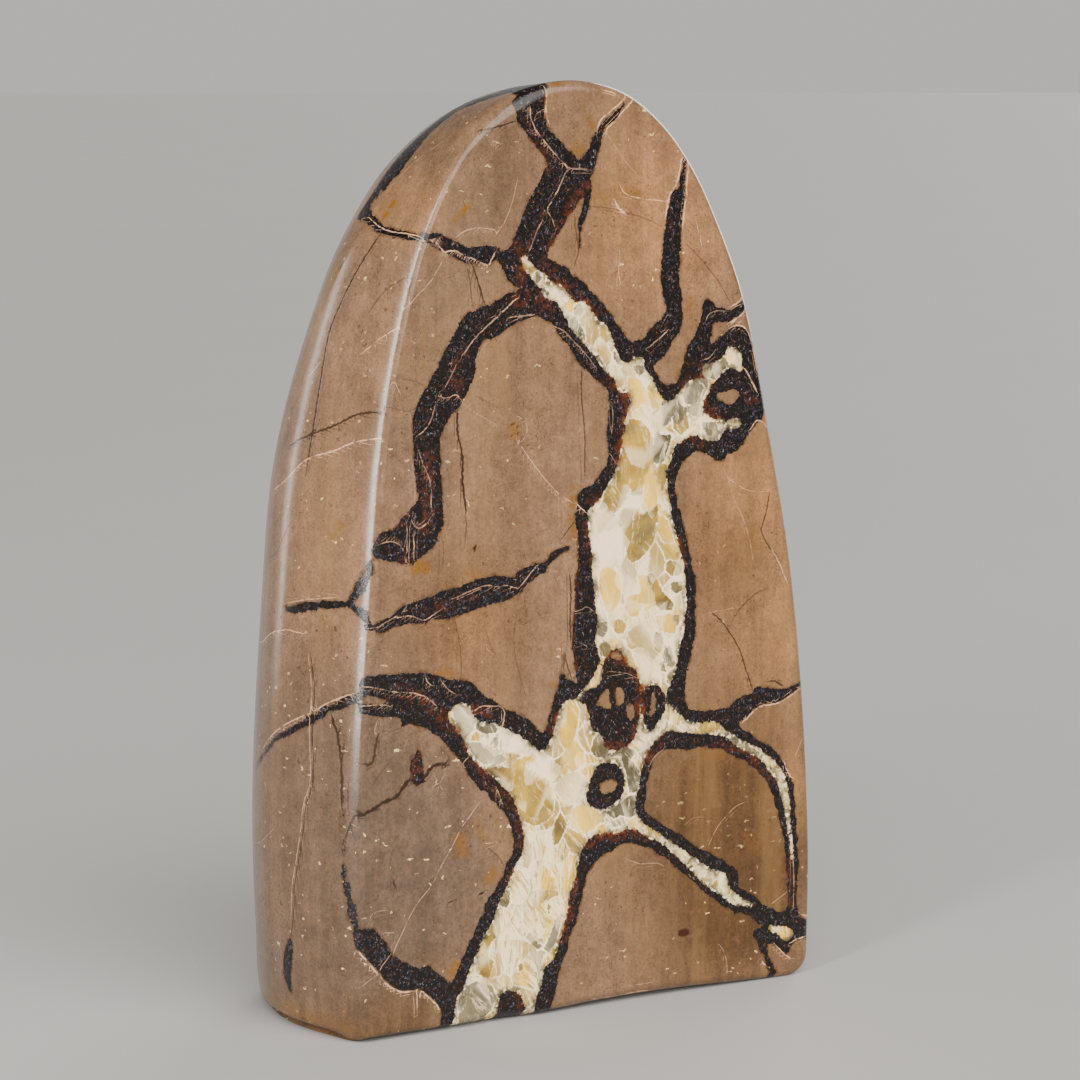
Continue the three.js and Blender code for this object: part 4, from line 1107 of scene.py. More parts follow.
def thin_lines(places, lines):
    """Thin lines as two numbers a point: the signed distance in half-widths, which changes evenly
    across a line and so stays sharp between points, and how strongly the line shows there."""
    offset = np.full(len(places), OFF_LINE)
    level = np.zeros(len(places))
    nearest = np.full(len(places), LINE_REACH)
    for half_width, strength, points in lines:
        line = smooth_line(points, 5) if len(points) > 2 else np.asarray(points, float)
        near = near_box(places, line, LINE_REACH)
        distance, piece, share, side = to_line(places[near], line)
        last = len(line) - 2
        end = np.minimum(piece + share, last + 1 - piece - share)
        taper = np.clip(0.45 + end / 3, 0, 1)
        closer = distance < nearest[near]
        chosen = near[closer]
        nearest[chosen] = distance[closer]
        offset[chosen] = (side * distance)[closer] / (half_width * taper[closer])
        level[chosen] = strength * (1 - smoothstep(distance[closer], (0.8, 1.35)))
    return offset, level


def greatest(*depths):
    """The deepest of several depths at each place."""
    return np.maximum.reduce(depths)


def crystal_tones(count, crystals):
    """How deep each place is in its nearest crystal, and that crystal's kind as three shares. The
    crystals come as kinds and depths at all the places."""
    depth = np.full(count, -CRYSTAL_REACH)
    tone = np.zeros((count, 3))
    for kind, here in crystals:
        deeper = here > depth
        depth = np.where(deeper, here, depth)
        tone[deeper] = CRYSTAL_KINDS[kind]
    return depth, tone


def front_pattern(places):
    """The front's fields at (x, z)."""
    vein = greatest(*[outline_depth(places, line) for line in VEINS])
    for line in ROCK_ISLANDS:
        vein = np.minimum(vein, -outline_depth(places, line))
    fill = greatest(*[outline_depth(places, line) for line in FILLS])
    for line in DARK_ISLANDS:
        fill = np.minimum(fill, -outline_depth(places, line))
    crystal, tone = crystal_tones(len(places), (
        (kind, outline_depth(places, line, CRYSTAL_REACH, rounded=False)) for kind, line in CRYSTALS))
    return {
        "vein": vein, "fill": fill, "crystal": crystal, "tone": tone,
        "pale": thin_lines(places, PALE_LINES), "dark": thin_lines(places, DARK_LINES),
        "inner": thin_lines(places, INNER_LINES),
        "stain": np.stack([soft_patches(places, RUST), soft_patches(places, OCHRE),
                           soft_patches(places, BLUE)], axis=1),
        "spot": soft_patches(places, BROWN_SPOTS),
    }


def swelling(places, size):
    """A slow rise and fall over a chart, of up to the size: a product of two bent sines."""
    across, up = places.T
    first = np.sin(0.38 * across + 1.7 * np.sin(0.22 * up))
    return size * first * np.sin(0.31 * up + 1.3 * np.sin(0.25 * across))


def bands_pattern(places, veins, fills, pale, dark, islands=(), crystals=(), ochre=(), uneven=0.0):
    """The fields of a chart whose veins are bands, with edges as uneven as asked for."""
    nothing = np.full(len(places), -FAR)
    vein = greatest(nothing, *[band_depth(places, wide, line) for wide, line in veins])
    fill = greatest(nothing, *[band_depth(places, wide, line) for wide, line in fills])
    vein = vein + swelling(places, uneven)
    fill = fill + swelling(places + 5, uneven)
    for wide, line in islands:
        fill = np.minimum(fill, -band_depth(places, wide, line))
        vein = np.minimum(vein, -band_depth(places, np.asarray(wide) * 0.5, line))
    count = len(places)
    crystal, tone = crystal_tones(count, (
        (kind, band_depth(places, wide, line, CRYSTAL_REACH)) for kind, wide, line in crystals))
    return {
        "vein": vein, "fill": fill, "crystal": crystal, "tone": tone,
        "pale": thin_lines(places, pale), "dark": thin_lines(places, dark),
        "inner": thin_lines(places, ()),
        "stain": np.stack([np.zeros(count), soft_patches(places, ochre), np.zeros(count)], axis=1),
        "spot": np.zeros(count),
    }


def lay(field, where, pattern, limit):
    """Lays one chart's pattern over the fields so far, no deeper than the limit."""
    vein = np.minimum(pattern["vein"], limit)
    field["vein"][where] = np.maximum(field["vein"][where], vein)
    field["fill"][where] = np.maximum(field["fill"][where], np.minimum(pattern["fill"], limit - 1))
    shown = limit > 0
    deeper = (pattern["crystal"] > field["crystal"][where]) & shown
    field["crystal"][where[deeper]] = pattern["crystal"][deeper]
    field["tone"][where[deeper]] = pattern["tone"][deeper]
    for name in LINE_KINDS:
        offset, level = pattern[name]
        level = level * smoothstep(limit, (-0.5, 0.5))
        stronger = level > field[name + "_level"][where]
        field[name + "_offset"][where[stronger]] = offset[stronger]
        field[name + "_level"][where[stronger]] = level[stronger]
    stain = pattern["stain"] * smoothstep(limit, (-1, 1))[:, None]
    field["stain"][where] = np.maximum(field["stain"][where], stain)
    field["spot"][where] = np.maximum(field["spot"][where], pattern["spot"] * shown)


def tints_light_and_shade_at(points):
    """Broad tints, partly painted light and shade: bell-shaped patches by distance from their middles,
    summed.
    """
    tint = np.zeros((len(points), 3))
    for kind, radius, strength, (x, z) in TINTS_LIGHT_AND_SHADE:
        away = np.hypot(points[:, 0] - x, points[:, 2] - z) / radius
        tint += np.outer(strength * np.exp(-(away**2)), TINT_LIGHT_AND_SHADE_KINDS[kind])
    return np.clip(tint, 0, 1)


def stone_fields(points, charts):
    """All the fields of the pattern at every point of the skin.

    Each part of the skin has a chart of its own, and where two charts meet, each one's depths are
    limited so that they run down to nothing over the other.
    """
    count = len(points)
    field = {
        "vein": np.full(count, -FAR), "fill": np.full(count, -FAR),
        "crystal": np.full(count, -CRYSTAL_REACH), "tone": np.zeros((count, 3)),
        "stain": np.zeros((count, 3)), "spot": np.zeros(count), "tint_light_and_shade": tints_light_and_shade_at(points),
    }
    for name in LINE_KINDS:
        field[name + "_offset"] = np.full(count, OFF_LINE)
        field[name + "_level"] = np.zeros(count)
    behind, at, past = charts["behind"], charts["at"], charts["past_band"]
    x, z = points[:, 0], points[:, 2]
    side, base = charts["side"] > 0.5, charts["base"] > 0.5

    front = np.nonzero((behind < FRONT_CHART["reach"]) & ~base)[0]
    limit = FAR - behind[front] * FRONT_CHART["fall"]
    lay(field, front, front_pattern(np.stack([x, z], axis=1)[front]), limit)

    under = np.nonzero(base)[0]
    folded_x = x[under] + BASE_CHART["lean"] * behind[under]
    folded_z = BASE_CHART["start"] + BASE_CHART["rise"] * behind[under]
    limit = np.minimum(FAR, -past[under] * BASE_CHART["fall"] - BASE_CHART["fall"])
    lay(field, under, front_pattern(np.stack([folded_x, folded_z], axis=1)), limit)

    arch = smooth_line(ARCH, 24)
    along = np.concatenate([[0], np.cumsum(np.linalg.norm(np.diff(arch, axis=0), axis=1))])
    tip = int(arch[:, 1].argmax())
    band = side & (behind > BAND_CHART["start"]) & (past < BAND_CHART["reach"])
    limit = np.minimum(behind * BAND_CHART["rise"] - BAND_CHART["edge"], BAND_CHART["reach"] - past)

    def by_length(lines, half):
        """The lines of a side with their heights turned into lengths along that half of the arch."""
        order = np.argsort(arch[half, 1])
        heights, lengths = arch[half][order, 1], along[half][order]
        return [(*rest, [(across, np.interp(height, heights, lengths)) for across, height in points])
                for *rest, points in lines]

    left = band & (at <= along[tip] + BAND_CHART["shared"])
    right = band & (at > along[tip] - BAND_CHART["shared"])
    for part, half, lines, ochre in (
        (left, slice(0, tip + 1), (LEFT_VEINS, (), LEFT_PALE, LEFT_DARK), LEFT_OCHRE),
        (right, slice(tip, None), (RIGHT_VEINS, RIGHT_FILLS, RIGHT_PALE, RIGHT_DARK), ()),
    ):
        where = np.nonzero(part)[0]
        chart = np.stack([behind, at], axis=1)[where]
        groups = [by_length(group, half) for group in lines]
        lay(field, where, bands_pattern(chart, *groups, ochre=by_length(ochre, half)), limit[where])

    crown = np.nonzero(band & (np.abs(at - along[tip]) < CROWN_REACH))[0]
    chart = np.stack([at[crown] - along[tip], behind[crown]], axis=1)
    lay(field, crown, bands_pattern(chart, CROWN_VEINS, (), (), ()), limit[crown])

    back = np.nonzero(past > np.where(base, BACK_CHART["base_start"], BACK_CHART["start"]))[0]
    pattern = bands_pattern(
        np.stack([x, z], axis=1)[back], BACK_VEINS, BACK_FILLS, BACK_PALE, BACK_DARK,
        BACK_ISLANDS, BACK_CRYSTALS, uneven=BACK_CHART["uneven"])
    lay(field, back, pattern, past[back] * BACK_CHART["rise"] + BACK_CHART["edge"])
    return field


def set_field(mesh, name, values):
    """Keeps one number, or three, at each point of a mesh as an attribute."""
    wide = values.ndim == 2
    attribute = mesh.attributes.new(name, "FLOAT_VECTOR" if wide else "FLOAT", "POINT")
    attribute.data.foreach_set("vector" if wide else "value", values.astype(np.float32).ravel())


# ---- Materials -----------------------------------------------------------------------------------


class Recipe:
    """Adds shader nodes to a tree. A value given to an input is a socket to link, or a plain value."""

    def __init__(self, tree):
        self.tree = tree
        self.column = 0

    def put(self, node, socket, value):
        """Links a socket to a node's input, or sets the input to a plain value."""
        if isinstance(value, bpy.types.NodeSocket):
            self.tree.links.new(value, node.inputs[socket])
        else:
            node.inputs[socket].default_value = value

    def node(self, kind, inputs=None, **settings):
        """A node of a kind, with its inputs by name or number and its own settings."""
        made = self.tree.nodes.new(kind)
        self.column += 1
        made.location = (self.column % 24 * 190, -(self.column // 24) * 320)
        for name, value in settings.items():
            setattr(made, name, value)
        for name, value in (inputs or {}).items():
            self.put(made, name, value)
        return made

    def sum(self, operation, *values):
        """A sum of one or two numbers."""
        return self.node("ShaderNodeMath", dict(enumerate(values)), operation=operation).outputs[0]

    def plus(self, first, second):
        """The two added."""
        return self.sum("ADD", first, second)

    def minus(self, first, second):
        """The first less the second."""
        return self.sum("SUBTRACT", first, second)

    def times(self, first, second):
        """The two multiplied."""
        return self.sum("MULTIPLY", first, second)

    def larger(self, first, second):
        """The larger of the two."""
        return self.sum("MAXIMUM", first, second)

    def vector(self, operation, *values, output=0):
        """A sum of one or two vectors."""
        made = self.node("ShaderNodeVectorMath", dict(enumerate(values)), operation=operation)
        return made.outputs[output]

    def parts(self, vector):
        """The three numbers of a vector."""
        return self.node("ShaderNodeSeparateXYZ", {0: vector}).outputs[:3]

    def scaled(self, where, size):
        """A place with its coordinates multiplied by three factors."""
        return self.vector("MULTIPLY", where, size)

    def dimmed(self, colour, shade):
        """A colour multiplied by one number."""
        made = self.node("ShaderNodeVectorMath", {0: colour, "Scale": shade}, operation="SCALE")
        return made.outputs[0]

    def ramp(self, value, low, high, first=0.0, last=1.0):
        """A smooth step of the value between two limits, from the first to the last number."""
        inputs = {"Value": value, "From Min": low, "From Max": high, "To Min": first, "To Max": last}
        return self.node("ShaderNodeMapRange", inputs, interpolation_type="SMOOTHSTEP").outputs[0]

    def mix(self, share, first, second):
        """Two colours mixed: the first where the share is 0 and the second where it is 1."""
        made = self.node("ShaderNodeMix", data_type="RGBA")
        for socket, value in ((0, share), (6, first), (7, second)):
            self.put(made, socket, value)
        return made.outputs[2]

    def noise(self, where, scale, detail=2.0, roughness=0.5, distortion=0.0):
        """Cloudy noise around one half, with its scale in cycles a mm."""
        inputs = {"Vector": where, "Scale": scale, "Detail": detail, "Roughness": roughness,
                  "Distortion": distortion}
        return self.node("ShaderNodeTexNoise", inputs).outputs[0]

    def cloud(self, where, scale, detail, roughness, low, high, first=0.0, last=1.0):
        """Noise turned by a smooth step between two limits into numbers from the first to the last."""
        return self.ramp(self.noise(where, scale, detail, roughness), low, high, first, last)

    def field(self, name):
        """One number of the stone's pattern."""
        return self.node("ShaderNodeAttribute", attribute_name=name).outputs["Fac"]

    def fields(self, name):
        """Three numbers of the stone's pattern."""
        return self.parts(self.node("ShaderNodeAttribute", attribute_name=name).outputs["Vector"])


def thin_line_mask(recipe, name, wobble, slimness):
    """A thin line's strength on it and 0 off it, from the line's two attributes."""
    offset = recipe.plus(recipe.times(recipe.field(name + "_offset"), slimness), wobble)
    shown = recipe.ramp(recipe.sum("ABSOLUTE", offset), 0.5, 1.5, 1.0, 0.0)
    return recipe.times(shown, recipe.field(name + "_level"))


def shaken_by(recipe, where, scale, reach):
    """A place moved by up to about half the reach, by noise of that scale."""
    drift = recipe.node("ShaderNodeTexNoise", {"Vector": where, "Scale": scale}).outputs[1]
    return recipe.vector("ADD", where, recipe.scaled(drift, (reach,) * 3))


def random_cells(recipe, where, scale):
    """Cells around scattered points: three random numbers for each cell, its point, and the distance
    from that point in cell sizes."""
    made = recipe.node("ShaderNodeTexVoronoi", {"Vector": where, "Scale": scale}, feature="F1")
    return recipe.parts(made.outputs["Color"]), made.outputs["Position"], made.outputs["Distance"]


def chosen_dots(recipe, where, scale, reach, share, channel):
    """Dots of unlike sizes at some of the points scattered through space: the largest reach is in
    cell sizes, and the share says which part of the points carries a dot."""
    numbers, _, distance = random_cells(recipe, where, scale)
    size = recipe.ramp(numbers[channel], 1 - share, 1.0, 0.0, reach)
    return recipe.ramp(recipe.minus(size, distance), 0.0, reach * 0.35)


def rock_colour(recipe, where, settings, stain, tint_light_and_shade):
    """Tan rock with broad tints, upright streaks, fine grain, pale shell flecks and dark pits.

    The broad tints are partly painted light and shade, and the upright streaks partly a painted sheen.
    """
    # The grey share is partly painted shade and the pale share partly painted light.
    brown, grey, pale = tint_light_and_shade
    colour = recipe.mix(brown, settings.rock_tan, settings.rock_brown)
    colour = recipe.mix(grey, colour, settings.rock_grey_and_shade)
    colour = recipe.mix(pale, colour, settings.rock_pale_and_light)
    # Upright soft bands and fine upright streaks: partly the rock's own grain and partly a painted sheen of
    # upright reflections.
    upright = recipe.scaled(where, (1.0, 1.0, 0.09))
    drift = recipe.cloud(upright, 0.12, 4, 0.6, 0.3, 0.7, 0.84, 1.16)
    streak_and_sheen = recipe.cloud(upright, 0.9, 3, 0.7, 0.3, 0.7, 0.92, 1.07)
    mottle = recipe.cloud(where, 0.14, 5, 0.75, 0.3, 0.7, 0.8, 1.2)
    grain = recipe.cloud(where, 1.3, 4, 0.8, 0.25, 0.75, 0.66, 1.3)
    shade = recipe.times(recipe.times(drift, streak_and_sheen), recipe.times(mottle, grain))
    colour = recipe.dimmed(colour, shade)
    warm = recipe.cloud(upright, 0.08, 4, 0.65, 0.45, 0.68, 0.0, 0.5)
    colour = recipe.mix(recipe.times(warm, recipe.minus(1.0, grey)), colour, settings.rock_gold)
    rosy = recipe.cloud(where, 0.3, 4, 0.7, 0.52, 0.72, 0.0, 0.35)
    colour = recipe.mix(rosy, colour, settings.rock_rose)

    blotch = recipe.cloud(where, 0.5, 5, 0.75, 0.36, 0.56)
    colour = recipe.mix(recipe.times(stain[1], blotch), colour, settings.ochre)

    shaken = shaken_by(recipe, where, 0.9, 2.2)
    crowd = recipe.cloud(where, 0.06, 3, 0.6, 0.4, 0.62, 0.15, 1.0)
    fine = recipe.cloud(where, 1.6, 1, 0.5, 0.62, 0.74, 0.0, 0.75)
    pit = recipe.larger(recipe.times(chosen_dots(recipe, shaken, 0.5, 0.4, 0.3, 1), 0.8), fine)
    colour = recipe.mix(recipe.times(pit, crowd), colour, settings.speck_brown)

    slanted = recipe.node("ShaderNodeMapping", {
        "Vector": shaken, "Rotation": (0, 0.7, 0), "Scale": (0.5, 0.9, 1.7)}).outputs[0]
    fleck = recipe.larger(
        chosen_dots(recipe, shaken, 0.46, 0.21, 0.32, 0),
        chosen_dots(recipe, slanted, 0.32, 0.22, 0.36, 2))
    thick = recipe.cloud(where, 0.045, 3, 0.6, 0.45, 0.6, 0.05, 0.8)
    thick = recipe.larger(thick, recipe.times(grey, 0.8))
    return recipe.mix(recipe.times(fleck, thick), colour, settings.shell_white)


def rim_colour(recipe, where, settings, stain, depth, fill):
    """Dark granular rims: black between small grains of brown or blue grey, rust over them where the
    pattern has it, an amber glow where rusty rim meets the filling, and pale streaky sparks."""
    shaken = shaken_by(recipe, where, 1.3, 1.0)
    (red, green, _), _, distance = random_cells(recipe, shaken, 1.05)
    bluish = recipe.plus(recipe.times(stain[2], 0.35), green)
    grain = recipe.mix(recipe.ramp(bluish, 0.45, 0.7), settings.rim_brown, settings.rim_blue)
    strength = recipe.times(recipe.ramp(distance, 0.2, 0.62, 1.0, 0.0), recipe.ramp(red, 0.2, 0.7))
    colour = recipe.mix(strength, settings.rim_black, grain)
    rust = recipe.ramp(stain[0], 0.2, 1.0)
    bed = recipe.times(rust, recipe.cloud(where, 0.5, 4, 0.7, 0.42, 0.62, 0.0, 0.85))
    colour = recipe.mix(bed, colour, settings.rust)
    glow = recipe.times(rust, recipe.ramp(fill, -1.3, -0.1))
    glow = recipe.times(glow, recipe.cloud(where, 0.4, 3, 0.7, 0.4, 0.62, 0.0, 0.85))
    colour = recipe.mix(glow, colour, settings.amber)
    streaks = recipe.noise(recipe.scaled(shaken, (1.0, 1.0, 0.6)), 1.5, 2, 0.6, 1.2)
    crowd = recipe.cloud(where, 0.3, 3, 0.7, 0.38, 0.6, 0.15, 1.0)
    spark = recipe.times(recipe.ramp(streaks, 0.6, 0.7), recipe.ramp(depth, 0.3, 1.0, 0.1, 0.7))
    tint = recipe.mix(recipe.ramp(green, 0.4, 0.6), settings.spark_pink, settings.spark_grey)
    return recipe.mix(recipe.times(spark, crowd), colour, tint)


def slant(recipe, where, point, numbers, reach):
    """0 to 1 across the cell round a point, in a direction of the cell's own."""
    inner = recipe.vector("SUBTRACT", where, point)
    way = recipe.node("ShaderNodeCombineXYZ", {0: numbers[1], 1: 0.5, 2: numbers[2]}).outputs[0]
    way = recipe.vector("NORMALIZE", recipe.vector("SUBTRACT", way, (0.5, 0.5, 0.5)))
    along = recipe.vector("DOT_PRODUCT", inner, way, output="Value")
    return recipe.ramp(along, -reach, reach)


FACET_SCALE = 0.14  # the calcite's facets, a mm
FIBRE_ZONE = (108, 92)  # heights between which the fibres gain their full strength


def fill_colour(recipe, where, settings, edge, crystal, tone, stain):
    """Calcite: angular facets of cream, white, khaki and grey, each shaded across and many with a
    thin white seam; fibres, which are stronger low down; the pattern's crystals with patchy white
    borders; a murky margin with small grains towards the rims."""
    height = recipe.parts(where)[2]
    shaken = shaken_by(recipe, where, 0.4, 1.6)
    stretched = recipe.scaled(shaken, (1.0, 1.0, 0.75))
    numbers, point, _ = random_cells(recipe, stretched, FACET_SCALE)
    red, green, blue = numbers
    seam = recipe.node("ShaderNodeTexVoronoi", {
        "Vector": stretched, "Scale": FACET_SCALE}, feature="DISTANCE_TO_EDGE").outputs["Distance"]
    across = slant(recipe, stretched, point, numbers, 4.0)

    # Fibres lean to the right, and each facet's lean is its own.
    lean = recipe.ramp(green, 0.0, 1.0, -0.1, 0.75)
    turned = recipe.node("ShaderNodeVectorRotate", {
        "Vector": shaken, "Axis": (0.0, 1.0, 0.0), "Angle": lean}).outputs[0]
    fibre = recipe.noise(recipe.scaled(turned, (1.0, 1.0, 0.08)), 1.0, 4, 0.7)
    feathered = recipe.ramp(height, *FIBRE_ZONE, 0.5, 1.0)
    broad = recipe.noise(where, 0.05, 3, 0.55)

    whitish = recipe.ramp(broad, 0.42, 0.64, 0.0, 0.7)
    colour = recipe.mix(whitish, settings.calcite_cream, settings.calcite_white)
    colour = recipe.mix(recipe.ramp(red, 0.6, 0.7, 0.0, 0.8), colour, settings.calcite_white)
    colour = recipe.mix(recipe.ramp(blue, 0.74, 0.8, 0.0, 0.7), colour, settings.khaki_light)
    colour = recipe.mix(recipe.ramp(blue, 0.14, 0.1, 0.0, 0.5), colour, settings.calcite_grey)
    colour = recipe.mix(recipe.ramp(across, 0.45, 0.0, 0.0, 0.55), colour, settings.khaki_light)
    colour = recipe.mix(recipe.ramp(across, 0.6, 1.0, 0.0, 0.7), colour, settings.calcite_white)
    dim = recipe.times(recipe.ramp(fibre, 0.5, 0.64, 0.0, 0.85), feathered)
    dull = recipe.mix(recipe.ramp(broad, 0.4, 0.6), settings.calcite_grey, settings.khaki_light)
    colour = recipe.mix(dim, colour, dull)
    bright = recipe.times(recipe.ramp(fibre, 0.48, 0.34, 0.0, 0.9), feathered)
    colour = recipe.mix(bright, colour, settings.calcite_white)
    line = recipe.ramp(seam, 0.01, 0.05, 1.0, 0.0)
    line = recipe.times(line, recipe.cloud(where, 0.2, 3, 0.6, 0.38, 0.58, 0.05, 0.95))
    colour = recipe.mix(line, colour, settings.calcite_white)

    jag = recipe.cloud(where, 0.9, 3, 0.6, 0.3, 0.7, -0.2, 0.2)
    depth = recipe.plus(recipe.plus(crystal, 0.15), jag)
    cloud = recipe.noise(where, 0.13, 4, 0.62)
    body = recipe.mix(tone[0], settings.calcite_white, settings.calcite_cream)
    khaki = recipe.mix(recipe.ramp(cloud, 0.38, 0.62), settings.khaki, settings.khaki_light)
    body = recipe.mix(tone[1], body, khaki)
    olive = recipe.mix(recipe.ramp(cloud, 0.4, 0.66), settings.olive, settings.calcite_grey)
    body = recipe.mix(tone[2], body, olive)
    body = recipe.mix(recipe.ramp(fibre, 0.46, 0.32, 0.0, 0.6), body, settings.calcite_white)
    body = recipe.mix(recipe.ramp(fibre, 0.58, 0.7, 0.0, 0.35), body, settings.khaki)
    body = recipe.mix(recipe.ramp(across, 0.5, 0.0, 0.0, 0.3), body, dull)
    body = recipe.mix(recipe.ramp(across, 0.6, 0.9, 0.0, 0.4), body, settings.calcite_white)
    colour = recipe.mix(recipe.ramp(depth, -0.08, 0.08), colour, body)
    border = recipe.ramp(recipe.sum("ABSOLUTE", recipe.plus(depth, 0.2)), 0.1, 0.4, 1.0, 0.0)
    patchy = recipe.cloud(where, 0.2, 2, 0.5, 0.34, 0.56, 0.1, 1.0)
    colour = recipe.mix(recipe.times(border, patchy), colour, settings.calcite_white)

    (speck, _, hue), _, _ = random_cells(recipe, shaken_by(recipe, where, 1.0, 0.9), 0.85)
    grit = recipe.mix(recipe.ramp(speck, 0.4, 0.7), settings.olive, settings.calcite_grey)
    grit = recipe.mix(recipe.ramp(hue, 0.68, 0.85), grit, settings.calcite_white)
    grit = recipe.mix(recipe.times(stain[0], recipe.ramp(hue, 0.6, 0.3)), grit, settings.amber)
    uneven = recipe.cloud(where, 0.16, 3, 0.6, 0.35, 0.65, 1.0, -1.0)
    margin = recipe.plus(edge, uneven)
    murk = recipe.mix(recipe.ramp(broad, 0.4, 0.6), settings.olive, settings.khaki)
    colour = recipe.mix(recipe.ramp(margin, 2.4, -0.2, 0.0, 0.65), colour, murk)
    return recipe.mix(recipe.ramp(margin, 0.8, -0.3, 0.0, 0.8), colour, grit)


def empty_material(name):
    """A new material, and a recipe for its empty tree."""
    material = bpy.data.materials.new(name)
    material.use_nodes = True
    material.node_tree.nodes.clear()
    return material, Recipe(material.node_tree)


def stone_material(settings):
    """The polished stone: rock, rims, crystals and lines, laid over each other by the fields."""
    material, recipe = empty_material("polished_septarian")
    position = recipe.node("ShaderNodeTexCoord").outputs["Object"]
    where = recipe.scaled(position, (1 / MM,) * 3)
    stain = recipe.fields("stain")
    # The broad tints of the rock, partly painted light and shade.
    tint_light_and_shade = recipe.fields("tint_light_and_shade")
    tone = recipe.fields("tone")

    fray = recipe.cloud(where, 1.2, 3, 0.6, 0.25, 0.75, -0.25, 0.25)
    drift = recipe.cloud(where, 0.27, 2, 0.5, 0.25, 0.75, -0.4, 0.4)
    vein = recipe.plus(recipe.plus(recipe.field("vein"), fray), drift)
    in_vein = recipe.ramp(vein, -0.08, 0.08)
    teeth = recipe.cloud(where, 0.8, 3, 0.65, 0.25, 0.75, -0.4, 0.4)
    fill = recipe.plus(recipe.field("fill"), teeth)
    in_fill = recipe.times(recipe.ramp(fill, -0.2, 0.2), in_vein)

    rock = rock_colour(recipe, where, settings, stain, tint_light_and_shade)
    near_vein = recipe.ramp(vein, -0.9, -0.1)
    halo = recipe.times(near_vein, recipe.cloud(where, 0.35, 2, 0.5, 0.4, 0.6, 0.15, 0.75))
    rock = recipe.mix(halo, rock, settings.halo_brown)
    spot = recipe.ramp(recipe.field("spot"), 0.25, 0.75)
    rock = recipe.mix(spot, rock, settings.spot_brown)
    rim = rim_colour(recipe, where, settings, stain, vein, fill)
    calcite = fill_colour(recipe, where, settings, fill, recipe.field("crystal"), tone, stain)

    colour = recipe.mix(in_vein, rock, rim)
    colour = recipe.mix(in_fill, colour, calcite)
    only_rim = recipe.minus(in_vein, in_fill)
    wobble = recipe.cloud(where, 0.8, 2, 0.5, 0.25, 0.75, -0.6, 0.6)
    dark_line = recipe.times(thin_line_mask(recipe, "dark", wobble, 0.9), recipe.minus(1.0, in_vein))
    colour = recipe.mix(dark_line, colour, settings.crack_brown)
    broken = recipe.cloud(where, 0.5, 3, 0.6, 0.36, 0.52, 0.1, 1.0)
    pale_line = recipe.times(thin_line_mask(recipe, "pale", wobble, 2.2), broken)
    colour = recipe.mix(recipe.times(pale_line, 0.75), colour, settings.line_white)
    inner_line = recipe.times(thin_line_mask(recipe, "inner", wobble, 2.2), broken)
    inner_tint = recipe.mix(
        recipe.cloud(where, 0.25, 2, 0.5, 0.4, 0.6), settings.line_white, settings.spark_pink)
    colour = recipe.mix(recipe.times(inner_line, 0.75), colour, inner_tint)

    rough = recipe.cloud(where, 0.9, 3, 0.6, 0.3, 0.7, 0.16, 0.23)
    rough = recipe.plus(rough, recipe.times(only_rim, 0.05))
    weight = recipe.plus(recipe.times(only_rim, 0.8), 0.06)
    pits = recipe.times(recipe.noise(where, 1.3, 3, 0.7), weight)
    wave = recipe.noise(recipe.scaled(where, (1.0, 1.0, 0.4)), 0.07, 2, 0.5)
    height = recipe.plus(recipe.times(pits, 0.12), recipe.times(wave, 0.3))
    height = recipe.minus(height, recipe.times(dark_line, 0.05))
    bump = recipe.node("ShaderNodeBump", {"Height": height, "Strength": 0.7, "Distance": MM}).outputs[0]
    shader = recipe.node("ShaderNodeBsdfPrincipled", {
        "Base Color": colour, "Roughness": rough, "Normal": bump, "IOR": 1.54, "Specular IOR Level": 0.36,
    })
    recipe.node("ShaderNodeOutputMaterial", {"Surface": shader.outputs[0]})
    return material


def floor_material(colour):
    """Matt pale studio paper with a faint cloudiness."""
    material, recipe = empty_material("studio_paper")
    where = recipe.node("ShaderNodeTexCoord").outputs["Object"]
    shade = recipe.cloud(where, 3.0, 2, 0.5, 0.3, 0.7, 0.985, 1.0)
    tint = recipe.dimmed(colour[:3], shade)
    shader = recipe.node("ShaderNodeBsdfPrincipled", {
        "Base Color": tint, "Roughness": 0.75, "Specular IOR Level": 0.25,
    })
    recipe.node("ShaderNodeOutputMaterial", {"Surface": shader.outputs[0]})
    return material


# ---- What a user may change -----------------------------------------------------------------------


def colour_property(name, description, value):
    """A colour in linear light from a hex code in screen values."""
    parts = [int(value[i: i + 2], 16) / 255 for i in (0, 2, 4)]
    linear = [part / 12.92 if part <= 0.04045 else ((part + 0.055) / 1.055) ** 2.4 for part in parts]
    return bpy.props.FloatVectorProperty(
        name=name, description=description, subtype="COLOR", size=4, min=0, max=1, default=(*linear, 1.0))


